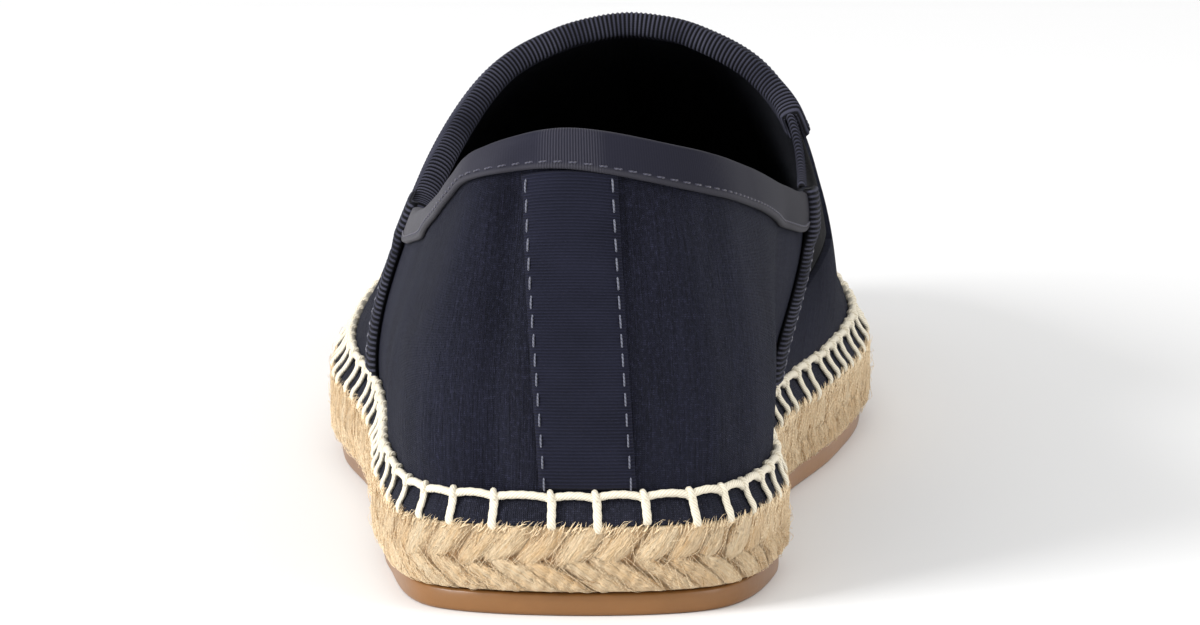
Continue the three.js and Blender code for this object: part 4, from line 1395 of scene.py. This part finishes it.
# %% Seams of the heel strip
# millimetres
STRIP_RUN = 57
STRIP_PITCH = 3.6
SEAM_IN = 0.9
places = []
for side in (-1, 1):
    for t in np.arange(0.015, 0.99, STRIP_PITCH / STRIP_RUN):
        w = STRIP_FOOT + (STRIP_TOP - STRIP_FOOT) * t
        s = float(along(0.0, w, side * (STRIP_HALF - SEAM_IN) + STRIP_LEAN * (1 - t)))
        places.append((s, w, 1.0, -STRIP_LEAN / STRIP_RUN * 0.2, 1 / 60))
heel_seam = seam("heel_strip_stitches", places, 2.7, 0.18, GREY_THREAD, "heel_tape")

# %% [markdown]
# One row of navy stitches follows the ribbon's lower rim at an even distance, so it rises where the ribbon
# is narrower.

# %% Seam of the collar ribbon
COLLAR_PITCH = 2.6
COLLAR_SEAM_UP = 1.3
places = []
s = float(along(EDGE_OUT, 1.0, 3.5))
stop = float(along(EDGE_IN, 1.0, -3.0)) + ROUND
while s < stop:
    w = float(below(s, float(collar_band(s)) - COLLAR_SEAM_UP))
    places.append((s, w, 1.15, 1.0, 0.0))
    s = float(along(s, w, COLLAR_PITCH))
collar_seam = seam("collar_stitches", places, 1.9, 0.17, NAVY_THREAD, "collar_tape")

# %% [markdown]
# Each edge ribbon is held by one row near its front side. The rows stop short of the topline, where the
# ribbons meet.

# %% Seams of the vamp's rear edges
EDGE_PITCH = 2.4
EDGE_SEAM_REACH = 4.9
OUTER_SEAM_TOP = float(below(EDGE_OUT, THROAT_BAND + 0.4)) - 0.02
places = []
for edge, side, top, shift in ((EDGE_IN, 1, 0.9, INNER_SHIFT), (EDGE_OUT, -1, OUTER_SEAM_TOP, OUTER_SHIFT)):
    w = 0.08
    while w < top:
        s = float(along(edge, w, side * (EDGE_SEAM_REACH - shift)))
        places.append((s, w, 1.75, 0.3 * side, 1.0))
        w += EDGE_PITCH / float(np.linalg.norm(up_slope(np.array([s]), np.array([w]))[0]))
edge_seam = seam("edge_stitches", places, 1.7, 0.19, PALE_GREY_THREAD, "throat_tape")

# %% [markdown]
# ## Loose fibres
# Jute sheds short hairs. A particle system could grow them, but a few thousand thin curved tubes are quick
# to make, stay the same in every run and can be exported. Most follow the strands, some stand off and catch
# the light, and short tufts hide where the strands end under the canvas.

# %% Wisps
UP_LEAN = 0.55
DOWN_LEAN = -0.8
HAIR_POINTS = np.linspace(0, 1, 6)
# height over the rubber, inset of the plait's face there
FACE_Z = [0, 0.8, 12.2, 14.0]
FACE_IN = [1.2, 0.3, 0.35, 1.1]


def hairs(count, low, high, length, stand, spread):
    """Curved hairs along the strands; stand is how far they lift off, spread how much their lean varies."""
    t = HAIR_POINTS
    paths = []
    for _ in range(count):
        s0 = rng.uniform(0, ROUND)
        z0 = rng.uniform(low, high)
        lean = (UP_LEAN if z0 + RUBBER_THICK > GROOVE_Z else DOWN_LEAN) + spread * rng.standard_normal()
        size = rng.uniform(*length)
        curl = 0.35 * rng.standard_normal()
        z = z0 + size * (t - 0.5) * math.cos(lean) + curl * np.sin(np.pi * t)
        s = s0 + size * (t - 0.5) * math.sin(lean)
        out = 0.05 + stand * rng.random() * np.sin(np.pi * np.clip(t * rng.uniform(0.6, 1.0), 0, 1))
        z = np.clip(z, 0.3, 13.5)
        paths.append(on_ring(s, np.interp(z, FACE_Z, FACE_IN) - out, z + RUBBER_THICK))
    return paths


# name, count, lowest, highest, lengths, stand, spread, radius, finish
WISPS = (
    ("jute_wisps_pale", 5200, 0.8, 12.8, (2.5, 7.5), 0.55, 0.28, 0.055, FUZZ),
    ("jute_tufts", 1500, 11.2, 12.6, (1.4, 2.8), 0.4, 0.35, 0.14, FUZZ),
    ("jute_wisps_dark", 1300, 1.5, 12.0, (2.0, 6.0), 0.25, 0.3, 0.05, DARK_FUZZ),
    ("jute_wisps_loose", 700, 0.5, 13.2, (1.5, 4.5), 1.3, 1.0, 0.045, FUZZ),
)
for name, count, low, high, length, stand, spread, radius, finish in WISPS:
    paths = hairs(count, low, high, length, stand, spread)
    cord_piece(name, paths, radius, finish, "jute", sides=3, step=1.1)

# %% [markdown]
# ## Floor, light and camera
# The photograph has a plain pale ground. A large plane does, and it is only part of the stage, not of the
# shoe.

# %% Floor
floor_mesh = bpy.data.meshes.new("floor")
HALF_FLOOR = 6.0
corners = [(HALF_FLOOR * x, HALF_FLOOR * y, 0) for x, y in ((-1, -1), (1, -1), (1, 1), (-1, 1))]
floor_mesh.from_pydata(corners, [], [(0, 1, 2, 3)])
floor = bpy.data.objects.new("floor", floor_mesh)
bpy.context.scene.collection.objects.link(floor)
pale = bpy.data.materials.new("pale_floor")
pale.use_nodes = True
shader = pale.node_tree.nodes["Principled BSDF"]
shader.inputs["Base Color"].default_value = (0.86, 0.86, 0.86, 1)
shader.inputs["Roughness"].default_value = 0.7
floor_mesh.materials.append(pale)
print("floor", 2 * HALF_FLOOR, "m wide")

# %% [markdown]
# The picture's light is soft and comes from all round, a little stronger from the upper left. A white world
# gives the even part and two square lamps the direction. Smaller lamps would draw hard edges on the canvas.

# %% Lights
world = bpy.data.worlds.new("studio")
world.use_nodes = True
background = world.node_tree.nodes["Background"]
background.inputs["Color"].default_value = (1.0, 1.0, 1.0, 1)
background.inputs["Strength"].default_value = 0.82
bpy.context.scene.world = world
bpy.context.scene.view_settings.view_transform = "Standard"


LAMP_SIZE = 0.8
LAMP_AIM = (0, 0, 0.05)


def area_light(name, place, power):
    """A square soft light at a place in metres, turned to the shoe."""
    data = bpy.data.lights.new(name, "AREA")
    data.shape = "SQUARE"
    data.size = LAMP_SIZE
    data.energy = power
    obj = bpy.data.objects.new(name, data)
    obj.location = place
    obj.rotation_euler = Vector(np.array(LAMP_AIM) - np.array(place)).to_track_quat("-Z", "Y").to_euler()
    bpy.context.scene.collection.objects.link(obj)
    print(name, power, "W")


area_light("soft_key", (-1.3, -0.8, 0.8), 30.0)
area_light("soft_side", (1.2, -0.6, 0.7), 7.0)

# %% [markdown]
# The camera stands where the photographer stood behind the shoe: slightly to its inner side, about thirteen
# degrees above the floor, with a long lens. Its place and turn were worked out from the lines of the sole
# in the picture, so they are given as numbers instead of being aimed by eye.

# %% Camera
CAMERA_SIDE = 62.0
CAMERA_BACK = 1500.0
CAMERA_UP = 358.0
DOWN = 11.356
FOCAL_PX = 8504.0
FRAME_PX = 1200.0
SENSOR = 36.0
TURN = 2.19
camera_data = bpy.data.cameras.new("camera")
camera_data.sensor_width = SENSOR
camera_data.lens = FOCAL_PX / FRAME_PX * SENSOR
camera_data.clip_end = 20.0
camera = bpy.data.objects.new("camera", camera_data)
place = np.array([CAMERA_SIDE, -CAMERA_BACK, CAMERA_UP]) - MIDDLE
camera.location = tuple(place / 1000.0)
look = Matrix.Rotation(math.radians(90 - DOWN), 3, "X") @ Matrix.Rotation(math.radians(TURN), 3, "Y")
camera.rotation_euler = look.to_euler()
bpy.context.scene.collection.objects.link(camera)
bpy.context.scene.camera = camera
print("lens", round(camera_data.lens), "mm")
